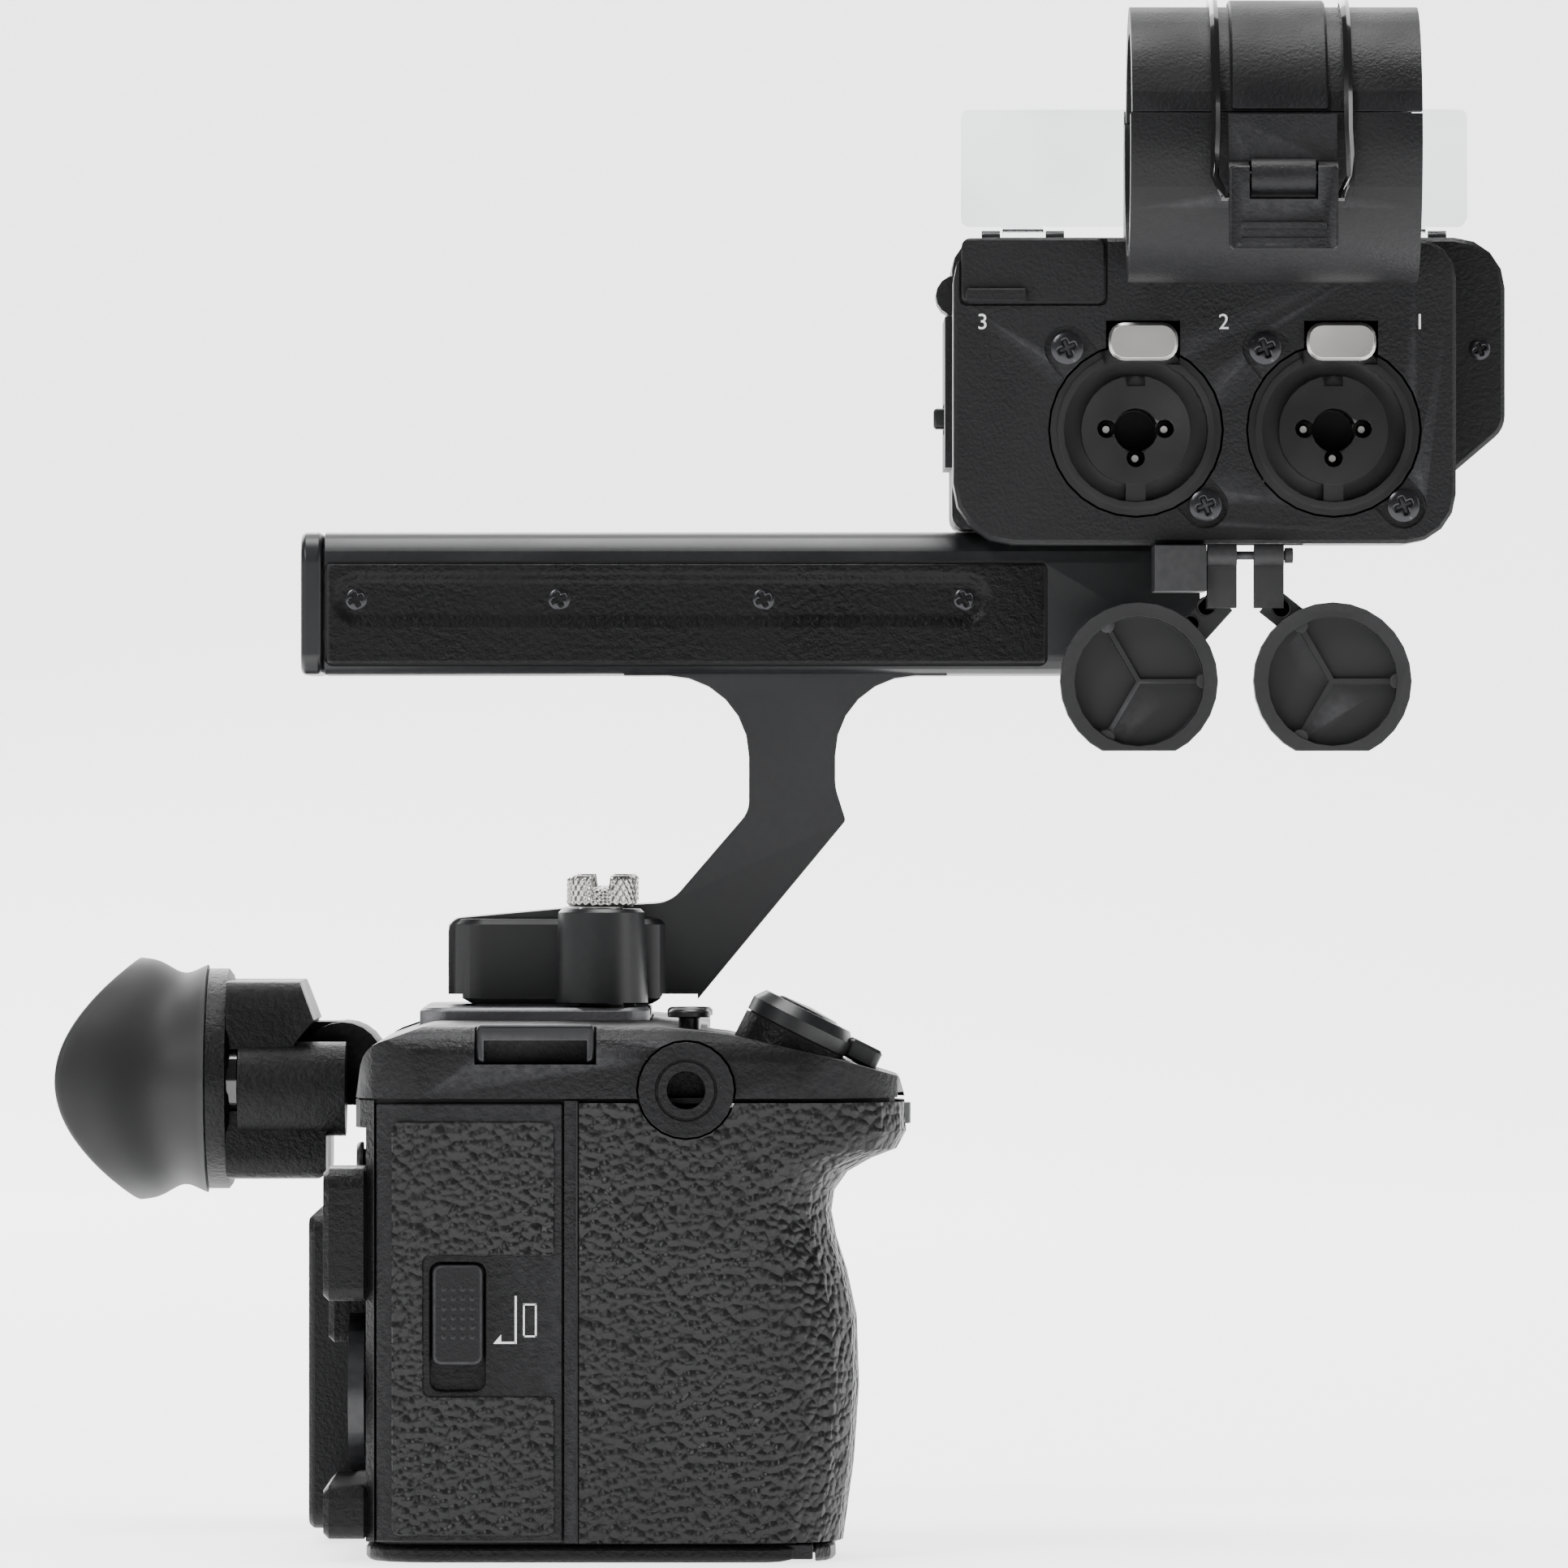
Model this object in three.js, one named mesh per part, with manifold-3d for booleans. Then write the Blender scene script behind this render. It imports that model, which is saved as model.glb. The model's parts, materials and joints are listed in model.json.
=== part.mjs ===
// Cinema camera rig: a compact full-frame video camera with a tilting viewfinder, a swing-out monitor and
// an audio top handle. Millimetres. +X is the lens direction, +Y the camera's left, +Z up. The origin lies
// on the flat base, below the lens axis at the plane of the image sensor.
import * as THREE from "three";
import { mergeVertices } from "three/addons/utils/BufferGeometryUtils.js";
import Module from "manifold-3d";

const wasm = await Module();
wasm.setup();

// ---------------------------------------------------------------------------------------------------------
// Driving dimensions
// ---------------------------------------------------------------------------------------------------------
const GAP = 0.3; // clearance between pieces that touch
const WALL = 2.4; // cast walls of the body
const SKIN = 1.8; // thickness of the covers laid on the body

// Camera body
const BODY_BACK = -34.5;
const BODY_FRONT = 14;
const BODY_RIGHT = -75; // grip side
const BODY_LEFT = 54;
const BASE_TOP = 2.5;
const SEAM_Z = 63.8; // joint between body shell and top cover
const BODY_TOP = 74.1;
const CONTROL_BACK = -33; // recessed face that carries the rear controls
const CORNER_BACK = 9; // plan radius of the grip side's back corner
const CORNER = 7; // the other plan radii

// Grip
const GRIP_SEAM = -3.6; // upright seam where the leather starts
const GRIP_RIGHT = -75.7;
const GRIP_INNER = -42;
const NOSE_FRONT = 41.6; // front end of the top cover above the grip

// Lens mount
const LENS_Z = 38;
const MOUNT_FACE = 18; // flange focal distance from the sensor plane
const MOUNT_R = 30.5;
const THROAT_R = 23;

// Battery
const BATTERY = { x: 36.2, y: 21.4, z: 51.6, front: 27.4, right: -71.2, bottom: 2.9 };

// Card door and its latch
const DOOR_BACK = -31.5;
const DOOR_FRONT = -5.8;
const LATCH = { x: -20.2, width: 6.9, low: 27.4, high: 41.2, travel: 3.3 };

// Screw sockets
const SCREW_R = 3.17; // quarter-inch thread
const TRIPOD_X = 7;
const TRIPOD_R = 4.8;
const BOSS = { x: 11.3, z: 65.3, r: 6.6, insertR: 4.1, holeR: 2.65, face: -76.3, depth: 9 };

// Accessory shoe
const SHOE = {
  back: -26.8,
  front: 5.7,
  halfWidth: 26,
  low: 73,
  high: 75.9,
  floor: 74.3,
  slot: 9.4,
  lip: 7.4,
};
const RAIL_TOP = 77.3;

// Strap lugs
const LUG = { back: -17.6, front: -1.4, low: 72.1, high: 74.3, reach: 3.2 };

// Dials and buttons
const FRONT_DIAL = { x: 33, y: -60, r: 9.4, low: 60.4, high: 63.6 };
const WHEEL = { y: -60, z: 23.1, r: 10.9, back: -35.5 };
const SHUTTER = { x: 26, y: -60, z: 71.6, r: 7.7, tilt: 26.6 };
const RELEASE = { y: 38, z: 26, r: 4 };

// Monitor
const THUMB_REST = -38.9; // back face of the pads beside the monitor
const MONITOR = { back: -42.4, front: -35.3, right: -27, left: 45.3, low: 2.2, high: 46.7 };
const ARM = { x: -38.7, y: 50, r: 3.2, low: 16, high: 40 };

// Viewfinder
const EVF = {
  pivotX: -39.2,
  pivotZ: 67,
  pivotR: 6,
  y: 30,
  z: 64.7,
  halfWidth: 18,
  back: -55.7,
  low: 50.5,
  high: 79,
};
const BARREL = { y: 15, z: 63.5, r: 6.8, front: -38.4 };
const EYECUP = { rim: -68.6, wing: 10.6, halfY: 22, halfZ: 17.6, seat: -58.9 };

// Handle
const TUBE = { back: -40.6, front: 84, low: 123, high: 143.4, halfWidth: 13.5 };
const STEM_HALF = 11.5;
const POST = { x: -1.1, y: 20, r: 6.3, low: 76.5, high: 89.8 };
const KNOB = { r: 4.95, low: 90.1, high: 94.5 };

// Audio unit
const UNIT = {
  back: 48.7,
  front: 119.5,
  nose: 127.3,
  low: 141.4,
  high: 185.2,
  plate: -33,
  plateHigh: 184.4,
  plateT: 2,
  left: 24,
};
const DIVIDE = -15; // where the jack half of the unit meets the rear half
const JACK_DEPTH = 15.2;
const JACK_LOBES = [
  [-9.7, 11.5],
  [9.8, -10.7],
]; // screw lobes beside each jack
const PLUG_PINS = [
  [-4.1, 0.2],
  [4.1, 0.2],
  [0, -3.9],
]; // contact holes beside the centre hole of each jack
const JACKS = [74.4, 102.3];
const JACK_Z = 157.4;
const JACK_R = 12.1;
const TAB = { x: 1, z: 169.8, width: 9.8, height: 5.4 };
const FLAP = { back: 49.8, front: 70.1, low: 175.2, high: UNIT.plateHigh };

// Jack caps
const CAP_BAR = { y: -36.2, z: 139.65, r: 0.6 };
const CAP = { r: 11.1, inner: 9.1, web: 1.5, rim: 3.4, drop: 17.7, strap: 4.2, flat: 9.8 };
const CAPS = [
  { name: "xlr_cap_1", x: 74.7, strap: 86.4, meets: 42 },
  { name: "xlr_cap_2", x: 101.9, strap: 93, meets: 122 },
];

// Microphone holder
const HOLDER = { back: 72.9, front: 113.4, y: -45, z: 197, r: 19.3, bore: 15.6, split: 200.7 };
const LEVER = { back: 86.4, front: 101.5, y: -66.8, z: 191.5, low: 181.3 };
const BAIL = { r: 0.68, back: 84.7, front: 103, pivotZ: 188.7, endAngle: 27 };
const CLAMP_HINGE = { y: -24.2, z: 200.7, r: 2 };

// Clear cover over the control panel
const COVER = { back: 50.5, front: 124, y: 28.4, z: 186.6, top: 205.6, thickness: 1 };

// ---------------------------------------------------------------------------------------------------------
// Finishes
// ---------------------------------------------------------------------------------------------------------
const finish = (color, roughness, metalness) => ({ color, roughness, metalness });
const PAINT = finish(0x1c1c1d, 0.72, 0.1);
const SATIN = finish(0x1e1f22, 0.45, 0.3);
const LEATHER = finish(0x232325, 0.78, 0);
const BLACK = finish(0x151516, 0.5, 0);
const GLOSS = finish(0x0b0b0c, 0.2, 0);
const RUBBER = finish(0x1b1b1c, 0.9, 0);
const GREY_METAL = finish(0x6f7174, 0.5, 0.9);
const NICKEL = finish(0xc9c7bf, 0.25, 1);
const STEEL = finish(0x9a9b9d, 0.35, 1);
const BOARD = finish(0x1f4a32, 0.6, 0);
const CHIP = finish(0x3a3550, 0.2, 0.3);
const GLASS = finish(0x20242b, 0.08, 0);
const CLEAR = finish(0xd8dadb, 0.1, 0);

// ---------------------------------------------------------------------------------------------------------
// Solids
// ---------------------------------------------------------------------------------------------------------

// Turns a closed geometry into a solid with its faces pointing outwards.
function solid(geometry) {
  const bare = new THREE.BufferGeometry().setAttribute("position", geometry.getAttribute("position"));
  if (geometry.index) bare.setIndex(geometry.index);
  const merged = mergeVertices(bare, 1e-4);
  const corners = merged.index.array;
  const kept = [];
  for (let i = 0; i < corners.length; i += 3) {
    const [a, b, c] = [corners[i], corners[i + 1], corners[i + 2]];
    if (a !== b && b !== c && c !== a) kept.push(a, b, c);
  }
  const build = (triangles) =>
    new wasm.Manifold(
      new wasm.Mesh({
        numProp: 3,
        vertProperties: merged.attributes.position.array,
        triVerts: Uint32Array.from(triangles),
      }),
    );
  const made = build(kept);
  return made.volume() > 0 ? made : build(kept.reverse());
}

// Joins any number of solids.
const join = (first, ...others) => others.reduce((whole, piece) => whole.add(piece), first);

// Cuts any number of solids away from the first.
const cut = (first, ...others) => others.reduce((whole, piece) => whole.subtract(piece), first);

// A closed outline. Each corner is [u, v, radius], and a corner with a radius is rounded by a true arc.
function outline(corners) {
  const shape = new THREE.Shape();
  const count = corners.length;
  corners.forEach(([u, v, radius = 0], i) => {
    const [pu, pv] = corners[(i + count - 1) % count];
    const [nu, nv] = corners[(i + 1) % count];
    const corner = new THREE.Vector2(u, v);
    const toPrevious = new THREE.Vector2(pu - u, pv - v).normalize();
    const toNext = new THREE.Vector2(nu - u, nv - v).normalize();
    const half = Math.acos(THREE.MathUtils.clamp(toPrevious.dot(toNext), -1, 1)) / 2;
    const reach = radius ? radius / Math.tan(half) : 0;
    const start = corner.clone().addScaledVector(toPrevious, reach);
    if (i === 0) shape.moveTo(start.x, start.y);
    else shape.lineTo(start.x, start.y);
    if (!radius) return;
    const middle = toPrevious.clone().add(toNext).normalize();
    const centre = corner.clone().addScaledVector(middle, radius / Math.sin(half));
    const end = corner.clone().addScaledVector(toNext, reach);
    const from = Math.atan2(start.y - centre.y, start.x - centre.x);
    const to = Math.atan2(end.y - centre.y, end.x - centre.x);
    const turnsRight = toPrevious.x * toNext.y - toPrevious.y * toNext.x > 0;
    shape.absarc(centre.x, centre.y, radius, from, to, turnsRight);
  });
  return shape;
}

// A rectangle with rounded corners, from its limits in two directions.
const rectangle = (u0, u1, v0, v1, radius = 0) =>
  outline([
    [u0, v0, radius],
    [u1, v0, radius],
    [u1, v1, radius],
    [u0, v1, radius],
  ]);

// How an outline is laid in space before it is pushed along an axis: X is drawn in (y, z), Y in (x, z) and
// Z in (x, y).
const LAID = {
  X: new THREE.Matrix4().makeBasis(
    new THREE.Vector3(0, 1, 0),
    new THREE.Vector3(0, 0, 1),
    new THREE.Vector3(1, 0, 0),
  ),
  Y: new THREE.Matrix4().makeBasis(
    new THREE.Vector3(1, 0, 0),
    new THREE.Vector3(0, 0, 1),
    new THREE.Vector3(0, -1, 0),
  ),
  Z: new THREE.Matrix4(),
};

// Pushes an outline from one place to another along an axis, with an optional bevel round both ends.
function slab(shape, axis, from, to, bevel = 0, arcSteps = 2) {
  const geometry = new THREE.ExtrudeGeometry(shape, {
    depth: to - from - 2 * bevel,
    bevelEnabled: bevel > 0,
    bevelThickness: bevel,
    bevelSize: bevel,
    bevelOffset: -bevel,
    bevelSegments: 1,
    curveSegments: arcSteps,
  });
  geometry.translate(0, 0, bevel).applyMatrix4(LAID[axis]);
  const shift = { X: [from, 0, 0], Y: [0, to, 0], Z: [0, 0, from] }[axis];
  return solid(geometry.translate(...shift));
}

// How a lathe's own upright axis is laid along X, Y or Z.
const TURNED = {
  X: new THREE.Matrix4().makeBasis(
    new THREE.Vector3(0, 1, 0),
    new THREE.Vector3(1, 0, 0),
    new THREE.Vector3(0, 0, -1),
  ),
  Y: new THREE.Matrix4(),
  Z: new THREE.Matrix4().makeBasis(
    new THREE.Vector3(1, 0, 0),
    new THREE.Vector3(0, 0, 1),
    new THREE.Vector3(0, -1, 0),
  ),
};

// Turns a profile of [radius, place along the axis] about an axis through a centre.
function turned(profile, axis, centre, sides = 20) {
  const points = profile.map(([radius, place]) => new THREE.Vector2(radius, place));
  const geometry = new THREE.LatheGeometry(points, sides).applyMatrix4(TURNED[axis]);
  return solid(geometry.translate(...centre));
}

// A plain round bar between two places along an axis. The centre gives the other two coordinates.
function rod(axis, centre, radius, from, to, sides = 16) {
  return turned(
    [
      [0, from],
      [radius, from],
      [radius, to],
      [0, to],
    ],
    axis,
    centre,
    sides,
  );
}

// A plain box from its limits.
function block(x0, x1, y0, y1, z0, z1) {
  const geometry = new THREE.BoxGeometry(x1 - x0, y1 - y0, z1 - z0);
  return solid(geometry.translate((x0 + x1) / 2, (y0 + y1) / 2, (z0 + z1) / 2));
}

// The outline of a wheel with pointed teeth.
function toothed(radius, depth, teeth, u = 0, v = 0) {
  const points = [];
  for (let i = 0; i < teeth * 2; i++) {
    const angle = (i / (teeth * 2)) * 2 * Math.PI;
    const r = i % 2 ? radius - depth : radius;
    points.push(new THREE.Vector2(u + r * Math.cos(angle), v + r * Math.sin(angle)));
  }
  return new THREE.Shape(points);
}

// A skin through rings of equally many points. The first and last ring are capped, unless the rings run
// round and meet again.
function lofted(rings, meets = false) {
  const count = rings[0].length;
  const positions = rings.flat().flatMap((p) => [p.x, p.y, p.z]);
  const triangles = [];
  const bands = meets ? rings.length : rings.length - 1;
  for (let i = 0; i < bands; i++) {
    for (let j = 0; j < count; j++) {
      const a = i * count + j;
      const b = i * count + ((j + 1) % count);
      const c = ((i + 1) % rings.length) * count + j;
      const d = ((i + 1) % rings.length) * count + ((j + 1) % count);
      triangles.push(a, b, d, a, d, c);
    }
  }
  const cap = (ring, start, flip) => {
    const faces = THREE.ShapeUtils.triangulateShape(ring.map((p) => new THREE.Vector2(p.x, p.y)), []);
    faces.forEach(([a, b, c]) => triangles.push(start + a, start + (flip ? c : b), start + (flip ? b : c)));
  };
  if (!meets) {
    cap(rings[0], 0, true);
    cap(rings[rings.length - 1], (rings.length - 1) * count, false);
  }
  const geometry = new THREE.BufferGeometry();
  geometry.setAttribute("position", new THREE.Float32BufferAttribute(positions, 3));
  return solid(geometry.setIndex(triangles));
}

// Wraps a solid as a named mesh with its own material.
function part(name, shape, { color, roughness, metalness }) {
  const { vertProperties, triVerts } = shape.getMesh();
  const geometry = new THREE.BufferGeometry();
  geometry.setAttribute("position", new THREE.BufferAttribute(Float32Array.from(vertProperties), 3));
  geometry.setIndex(new THREE.BufferAttribute(Uint32Array.from(triVerts), 1));
  const mesh = new THREE.Mesh(geometry, new THREE.MeshStandardMaterial({ color, roughness, metalness }));
  mesh.name = name;
  return mesh;
}

// ---------------------------------------------------------------------------------------------------------
// Shapes that several pieces share
// ---------------------------------------------------------------------------------------------------------

// The body's plan, drawn in from its outer face by an inset. A negative inset grows it.
function bodyPlan(inset = 0) {
  return outline([
    [BODY_BACK + inset, BODY_RIGHT + inset, CORNER_BACK - inset],
    [GRIP_SEAM, BODY_RIGHT + inset],
    [GRIP_SEAM, BODY_RIGHT + SKIN + inset],
    [BODY_FRONT - inset, BODY_RIGHT + SKIN + inset],
    [BODY_FRONT - inset, BODY_LEFT - inset, CORNER - inset],
    [BODY_BACK + inset, BODY_LEFT - inset, CORNER - inset],
  ]);
}

// The side view of the grip's front: a palm swell low down, a waist for the middle finger and a nose.
const gripFront = new THREE.SplineCurve(
  [
    [33, 2.8],
    [33.8, 8.6],
    [34.6, 14.9],
    [35.3, 27],
    [34.6, 36],
    [33, 41.5],
    [31.6, 46.5],
    [31.5, 50],
    [32.8, 53],
    [36, 55.3],
    [40, 56.7],
    [41.7, 59.2],
    [NOSE_FRONT, SEAM_Z - GAP],
  ].map(([x, z]) => new THREE.Vector2(x, z)),
);

// The grip as a skin through level sections, drawn in by an inset and starting at a given back face.
function gripForm(inset, back, levels = 13) {
  const rings = gripFront.getPoints(levels).map((point) => {
    const section = outline([
      [back, GRIP_RIGHT + inset],
      [point.x - inset, GRIP_RIGHT + inset, 12 - inset],
      [point.x - inset, GRIP_INNER - inset, 8 - inset],
      [BODY_FRONT, GRIP_INNER + 6 - inset],
      [back, GRIP_INNER + 6 - inset],
    ]);
    return section.getPoints(2).map((p) => new THREE.Vector3(p.x, p.y, point.y));
  });
  return lofted(rings);
}

const boss = (radius, from, to) => rod("Y", [BOSS.x, 0, BOSS.z], radius, from, to, 24);
const dialPocket = rod(
  "Z",
  [FRONT_DIAL.x, FRONT_DIAL.y, 0],
  FRONT_DIAL.r + GAP,
  FRONT_DIAL.low - GAP,
  SEAM_Z + 1,
);
const batteryBox = (gap) =>
  block(
    BATTERY.front - BATTERY.x - gap,
    BATTERY.front + gap,
    BATTERY.right - gap,
    BATTERY.right + BATTERY.y + gap,
    gap ? 0 : BATTERY.bottom,
    BATTERY.bottom + BATTERY.z + gap,
  );

// ---------------------------------------------------------------------------------------------------------
// Body
// ---------------------------------------------------------------------------------------------------------

// The battery door's plan. The door hangs on the edge that lies towards the camera's middle.
const BATTERY_DOOR = { back: -10, front: 28.8, right: -72.2, hinge: -48, low: 0.4 };

function basePlate() {
  const plan = outline([
    [BODY_BACK + 1.4, BODY_RIGHT + 1.4, CORNER_BACK],
    [32, BODY_RIGHT + 1.4, 10],
    [32, GRIP_INNER - 1, 8],
    [BODY_FRONT - 1.2, GRIP_INNER + 4, 2],
    [BODY_FRONT - 1.2, BODY_LEFT - 1.2, CORNER],
    [BODY_BACK + 1.4, BODY_LEFT - 1.2, CORNER],
  ]);
  const d = BATTERY_DOOR;
  const opening = block(d.back - GAP, d.front + GAP, d.right - GAP, d.hinge + GAP, -1, BASE_TOP + 1);
  const socket = rod("Z", [TRIPOD_X, 0, 0], TRIPOD_R + GAP, -1, BASE_TOP + 1, 24);
  return cut(slab(plan, "Z", 0, BASE_TOP, 0.6), opening, socket);
}

function tripodSocket() {
  const profile = [
    [SCREW_R, 0],
    [TRIPOD_R, 0],
    [TRIPOD_R, 10],
    [SCREW_R, 10],
    [SCREW_R, 0],
  ];
  return turned(profile, "Z", [TRIPOD_X, 0, 0], 24);
}

// Recesses on the camera's left that the two port covers fill.
const PORTS = [
  { name: "port_cover_front", back: -6.7, front: 9.7 },
  { name: "port_cover_rear", back: -25.7, front: -7.3 },
];
const PORT_LOW = 14;
const PORT_HIGH = 54;

// Ears on the body's back that carry the monitor arm's upright pin.
function monitorEars() {
  const ear = (low, high) =>
    join(
      rod("Z", [ARM.x, ARM.y, 0], ARM.r, low, high, 16),
      block(ARM.x, CONTROL_BACK + 1, ARM.y - ARM.r, ARM.y + ARM.r, low, high),
    );
  const lower = ear(ARM.low - 4, ARM.low - GAP);
  const upper = ear(ARM.high + GAP, ARM.high + 4);
  const pinHole = rod("Z", [ARM.x, ARM.y, 0], 1.5, ARM.low - 3, ARM.high + 3, 12);
  return cut(join(lower, upper), pinHole);
}

// A thumb rest beside the control wheel and a ledge below it, both level with the monitor's front.
function rearPads() {
  const face = CONTROL_BACK + 0.5;
  const rest = outline([
    [-72, 36, 2],
    [-47.5, 36],
    [-47.5, 29.4, 1],
    [MONITOR.right - 3, 29.4, 2],
    [MONITOR.right - 3, 48.5, 3],
    [-57, 48.5],
    [-57, 54.5, 2],
    [-72, 54.5, 3],
  ]);
  const ledge = rectangle(-72, MONITOR.right - 3, BASE_TOP + 2 * GAP, 10.6, 2);
  return join(slab(rest, "X", THUMB_REST, face, 0.8), slab(ledge, "X", THUMB_REST, face, 0.8));
}

// Room in the body and top cover for the viewfinder's bracket and for the housing when it is tilted up.
const evfBracketRoom = block(
  -40,
  -25.7 + GAP,
  EVF.y - 10 - GAP,
  EVF.y + EVF.halfWidth,
  58.5 - GAP,
  80,
);
const evfTiltRoom = block(-40, -25.4, EVF.y - EVF.halfWidth - 0.6, EVF.y + EVF.halfWidth + 0.6, 70.3, 80);

function bodyShell() {
  const outer = slab(bodyPlan(), "Z", BASE_TOP + GAP, SEAM_Z);
  const core = gripForm(SKIN, GRIP_SEAM - 6);
  const hollow = block(-31.5, BODY_FRONT - WALL, -44, BODY_LEFT - WALL, 5.4, 80);
  const cardBay = block(-31, -12.5, -71, -43, 8, 80);
  const controls = block(-60, CONTROL_BACK, -80, ARM.y + 20, 0, 60);
  const doorSkin = cut(
    block(DOOR_BACK - GAP, DOOR_FRONT + GAP, -80, -60, 0, 80),
    slab(bodyPlan(SKIN + GAP), "Z", -1, 81),
  );
  const throat = rod("X", [0, 0, LENS_Z], THROAT_R, 4, 30, 36);
  const wheelHole = rod("X", [0, WHEEL.y, WHEEL.z], 2.3, -36, -30, 16);
  const buttonHole = rod("X", [0, -52, 54.6], 2.3, -36, -29, 16);
  const releaseHole = rod("X", [0, RELEASE.y, RELEASE.z], 2.3, 8, 20, 16);
  const socket = rod("Z", [TRIPOD_X, 0, 0], TRIPOD_R + GAP, 0, 10.4, 24);
  const portRooms = PORTS.map((p) =>
    block(p.back - GAP, p.front + GAP, BODY_LEFT - 1.4, BODY_LEFT + 6, PORT_LOW - GAP, PORT_HIGH + GAP),
  );
  const socketHole = (x, z) => rod("Y", [x, 0, z], 1.8, BODY_LEFT - 3, BODY_LEFT + 6, 12);
  const portHoles = PORTS.flatMap((p) => [22, 34, 46].map((z) => socketHole((p.back + p.front) / 2, z)));
  const casting = join(cut(join(outer, core), controls), monitorEars(), rearPads());
  return cut(
    casting,
    hollow,
    cardBay,
    batteryBox(GAP),
    doorSkin,
    throat,
    wheelHole,
    buttonHole,
    releaseHole,
    socket,
    boss(BOSS.r + GAP, -90, BOSS.face + BOSS.depth + GAP),
    dialPocket,
    evfBracketRoom,
    ...portRooms,
    ...portHoles,
    block(-60, 60, -90, 90, SEAM_Z, 90),
  );
}

function gripCover() {
  return cut(
    gripForm(0, GRIP_SEAM + GAP / 2),
    gripForm(SKIN - GAP, GRIP_SEAM - 8),
    slab(bodyPlan(-GAP), "Z", 0, 90),
    block(GRIP_SEAM - 5, 60, GRIP_INNER + 1.5, 90, 0, 90),
    boss(BOSS.r + GAP, -90, -60),
    dialPocket,
  );
}

// A hole through the top cover for the stem of a button whose cap lies on top.
const stemHole = (x, y, radius) => rod("Z", [x, y, 0], radius, 60, 90, 16);

const TOP_BUTTONS = [
  { name: "record_button", x: 11.6, y: -38, r: 3.2 },
  { name: "top_button", x: 11.6, y: -55, r: 3 },
];

// The tilted seat of the shutter dome, as a group matrix that its pieces share.
const domeTurn = new THREE.Matrix4()
  .makeTranslation(SHUTTER.x, SHUTTER.y, SHUTTER.z)
  .multiply(new THREE.Matrix4().makeRotationY(THREE.MathUtils.degToRad(SHUTTER.tilt)));
const tilted = (shape) => shape.transform(domeTurn.elements);

function topCover() {
  const side = outline([
    [BODY_BACK, SEAM_Z + GAP],
    [NOSE_FRONT, SEAM_Z + GAP],
    [40.8, 67, 1],
    [33.3, 69.2],
    [17, 72.9],
    [6, BODY_TOP, 4],
    [-24.7, BODY_TOP, 8],
    [-33.4, 71, 4],
  ]);
  const front = outline([
    [GRIP_RIGHT, SEAM_Z + GAP],
    [BODY_LEFT, SEAM_Z + GAP],
    [BODY_LEFT, BODY_TOP, 5],
    [GRIP_RIGHT, BODY_TOP, 6.5],
  ]);
  const plan = outline([
    [BODY_BACK, BODY_RIGHT, CORNER_BACK],
    [NOSE_FRONT, GRIP_RIGHT, 15],
    [NOSE_FRONT, GRIP_INNER - 3, 9],
    [BODY_FRONT, GRIP_INNER + 6, 3],
    [BODY_FRONT, BODY_LEFT, CORNER],
    [BODY_BACK, BODY_LEFT, CORNER],
  ]);
  const dome = slab(side, "Y", -90, 90)
    .intersect(slab(front, "X", -60, 60, 0, 3))
    .intersect(slab(plan, "Z", 60, 90));
  const hollow = block(-31.5, 11.5, -58, BODY_LEFT - 3, 60, 71.4);
  const gripHollow = block(0, 28, -71, -47, 60, 66);
  const s = SHOE;
  const shoe = block(s.back - GAP, s.front + GAP, -s.halfWidth - GAP, s.halfWidth + GAP, s.low - GAP, 90);
  const lugs = [
    block(LUG.back - GAP, LUG.front + GAP, -90, BODY_RIGHT + 4.6, 68.8, 90),
    block(LUG.back - GAP, LUG.front + GAP, BODY_LEFT - 4.6, 90, 68.8, 90),
  ];
  return cut(
    join(dome, tilted(rod("Z", [0, 0, 0], SHUTTER.r, -3, 1.2, 28))),
    hollow,
    gripHollow,
    shoe,
    ...lugs,
    ...TOP_BUTTONS.map((b) => stemHole(b.x, b.y, 1.8)),
    tilted(rod("Z", [0, 0, 0], 2.1, -8, 5, 16)),
    tilted(rod("Z", [0, 0, 0], SHUTTER.r + 4.8, 1.2, 9, 28)),
    boss(BOSS.r + GAP, -90, BOSS.face + BOSS.depth + GAP),
    dialPocket,
    evfBracketRoom,
    evfTiltRoom,
    ...[-POST.y, POST.y].map((y) => rod("Z", [POST.x, y, 0], SCREW_R + GAP, 60, 90, 16)),
  );
}

function threadBoss() {
  const ring = boss(BOSS.r, BOSS.face, BOSS.face + BOSS.depth);
  const seam = cut(boss(BOSS.insertR + 0.2, -90, BOSS.face + 0.4), boss(BOSS.insertR - 0.2, -90, 0));
  const hole = boss(BOSS.holeR, -90, BOSS.face + 7);
  return cut(ring, seam, hole);
}

// A strap lug: a bar with two legs that reach into the top cover. The side is -1 on the right
// and 1 on the left.
function strapLug(side) {
  const face = side < 0 ? BODY_RIGHT + 0.6 : BODY_LEFT - 0.6;
  const outer = face + side * 0.6;
  const inner = face - side * (LUG.reach + 0.6);
  const span = (a, b) => [Math.min(a, b), Math.max(a, b)];
  const whole = slab(
    rectangle(LUG.back, LUG.front, LUG.low - 3, LUG.high, 0.8),
    "Y",
    ...span(outer, inner),
    0.3,
  );
  const slot = block(LUG.back + 1, LUG.front - 1, -99, 99, LUG.low - 4, LUG.low);
  return cut(whole, slot);
}

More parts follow.
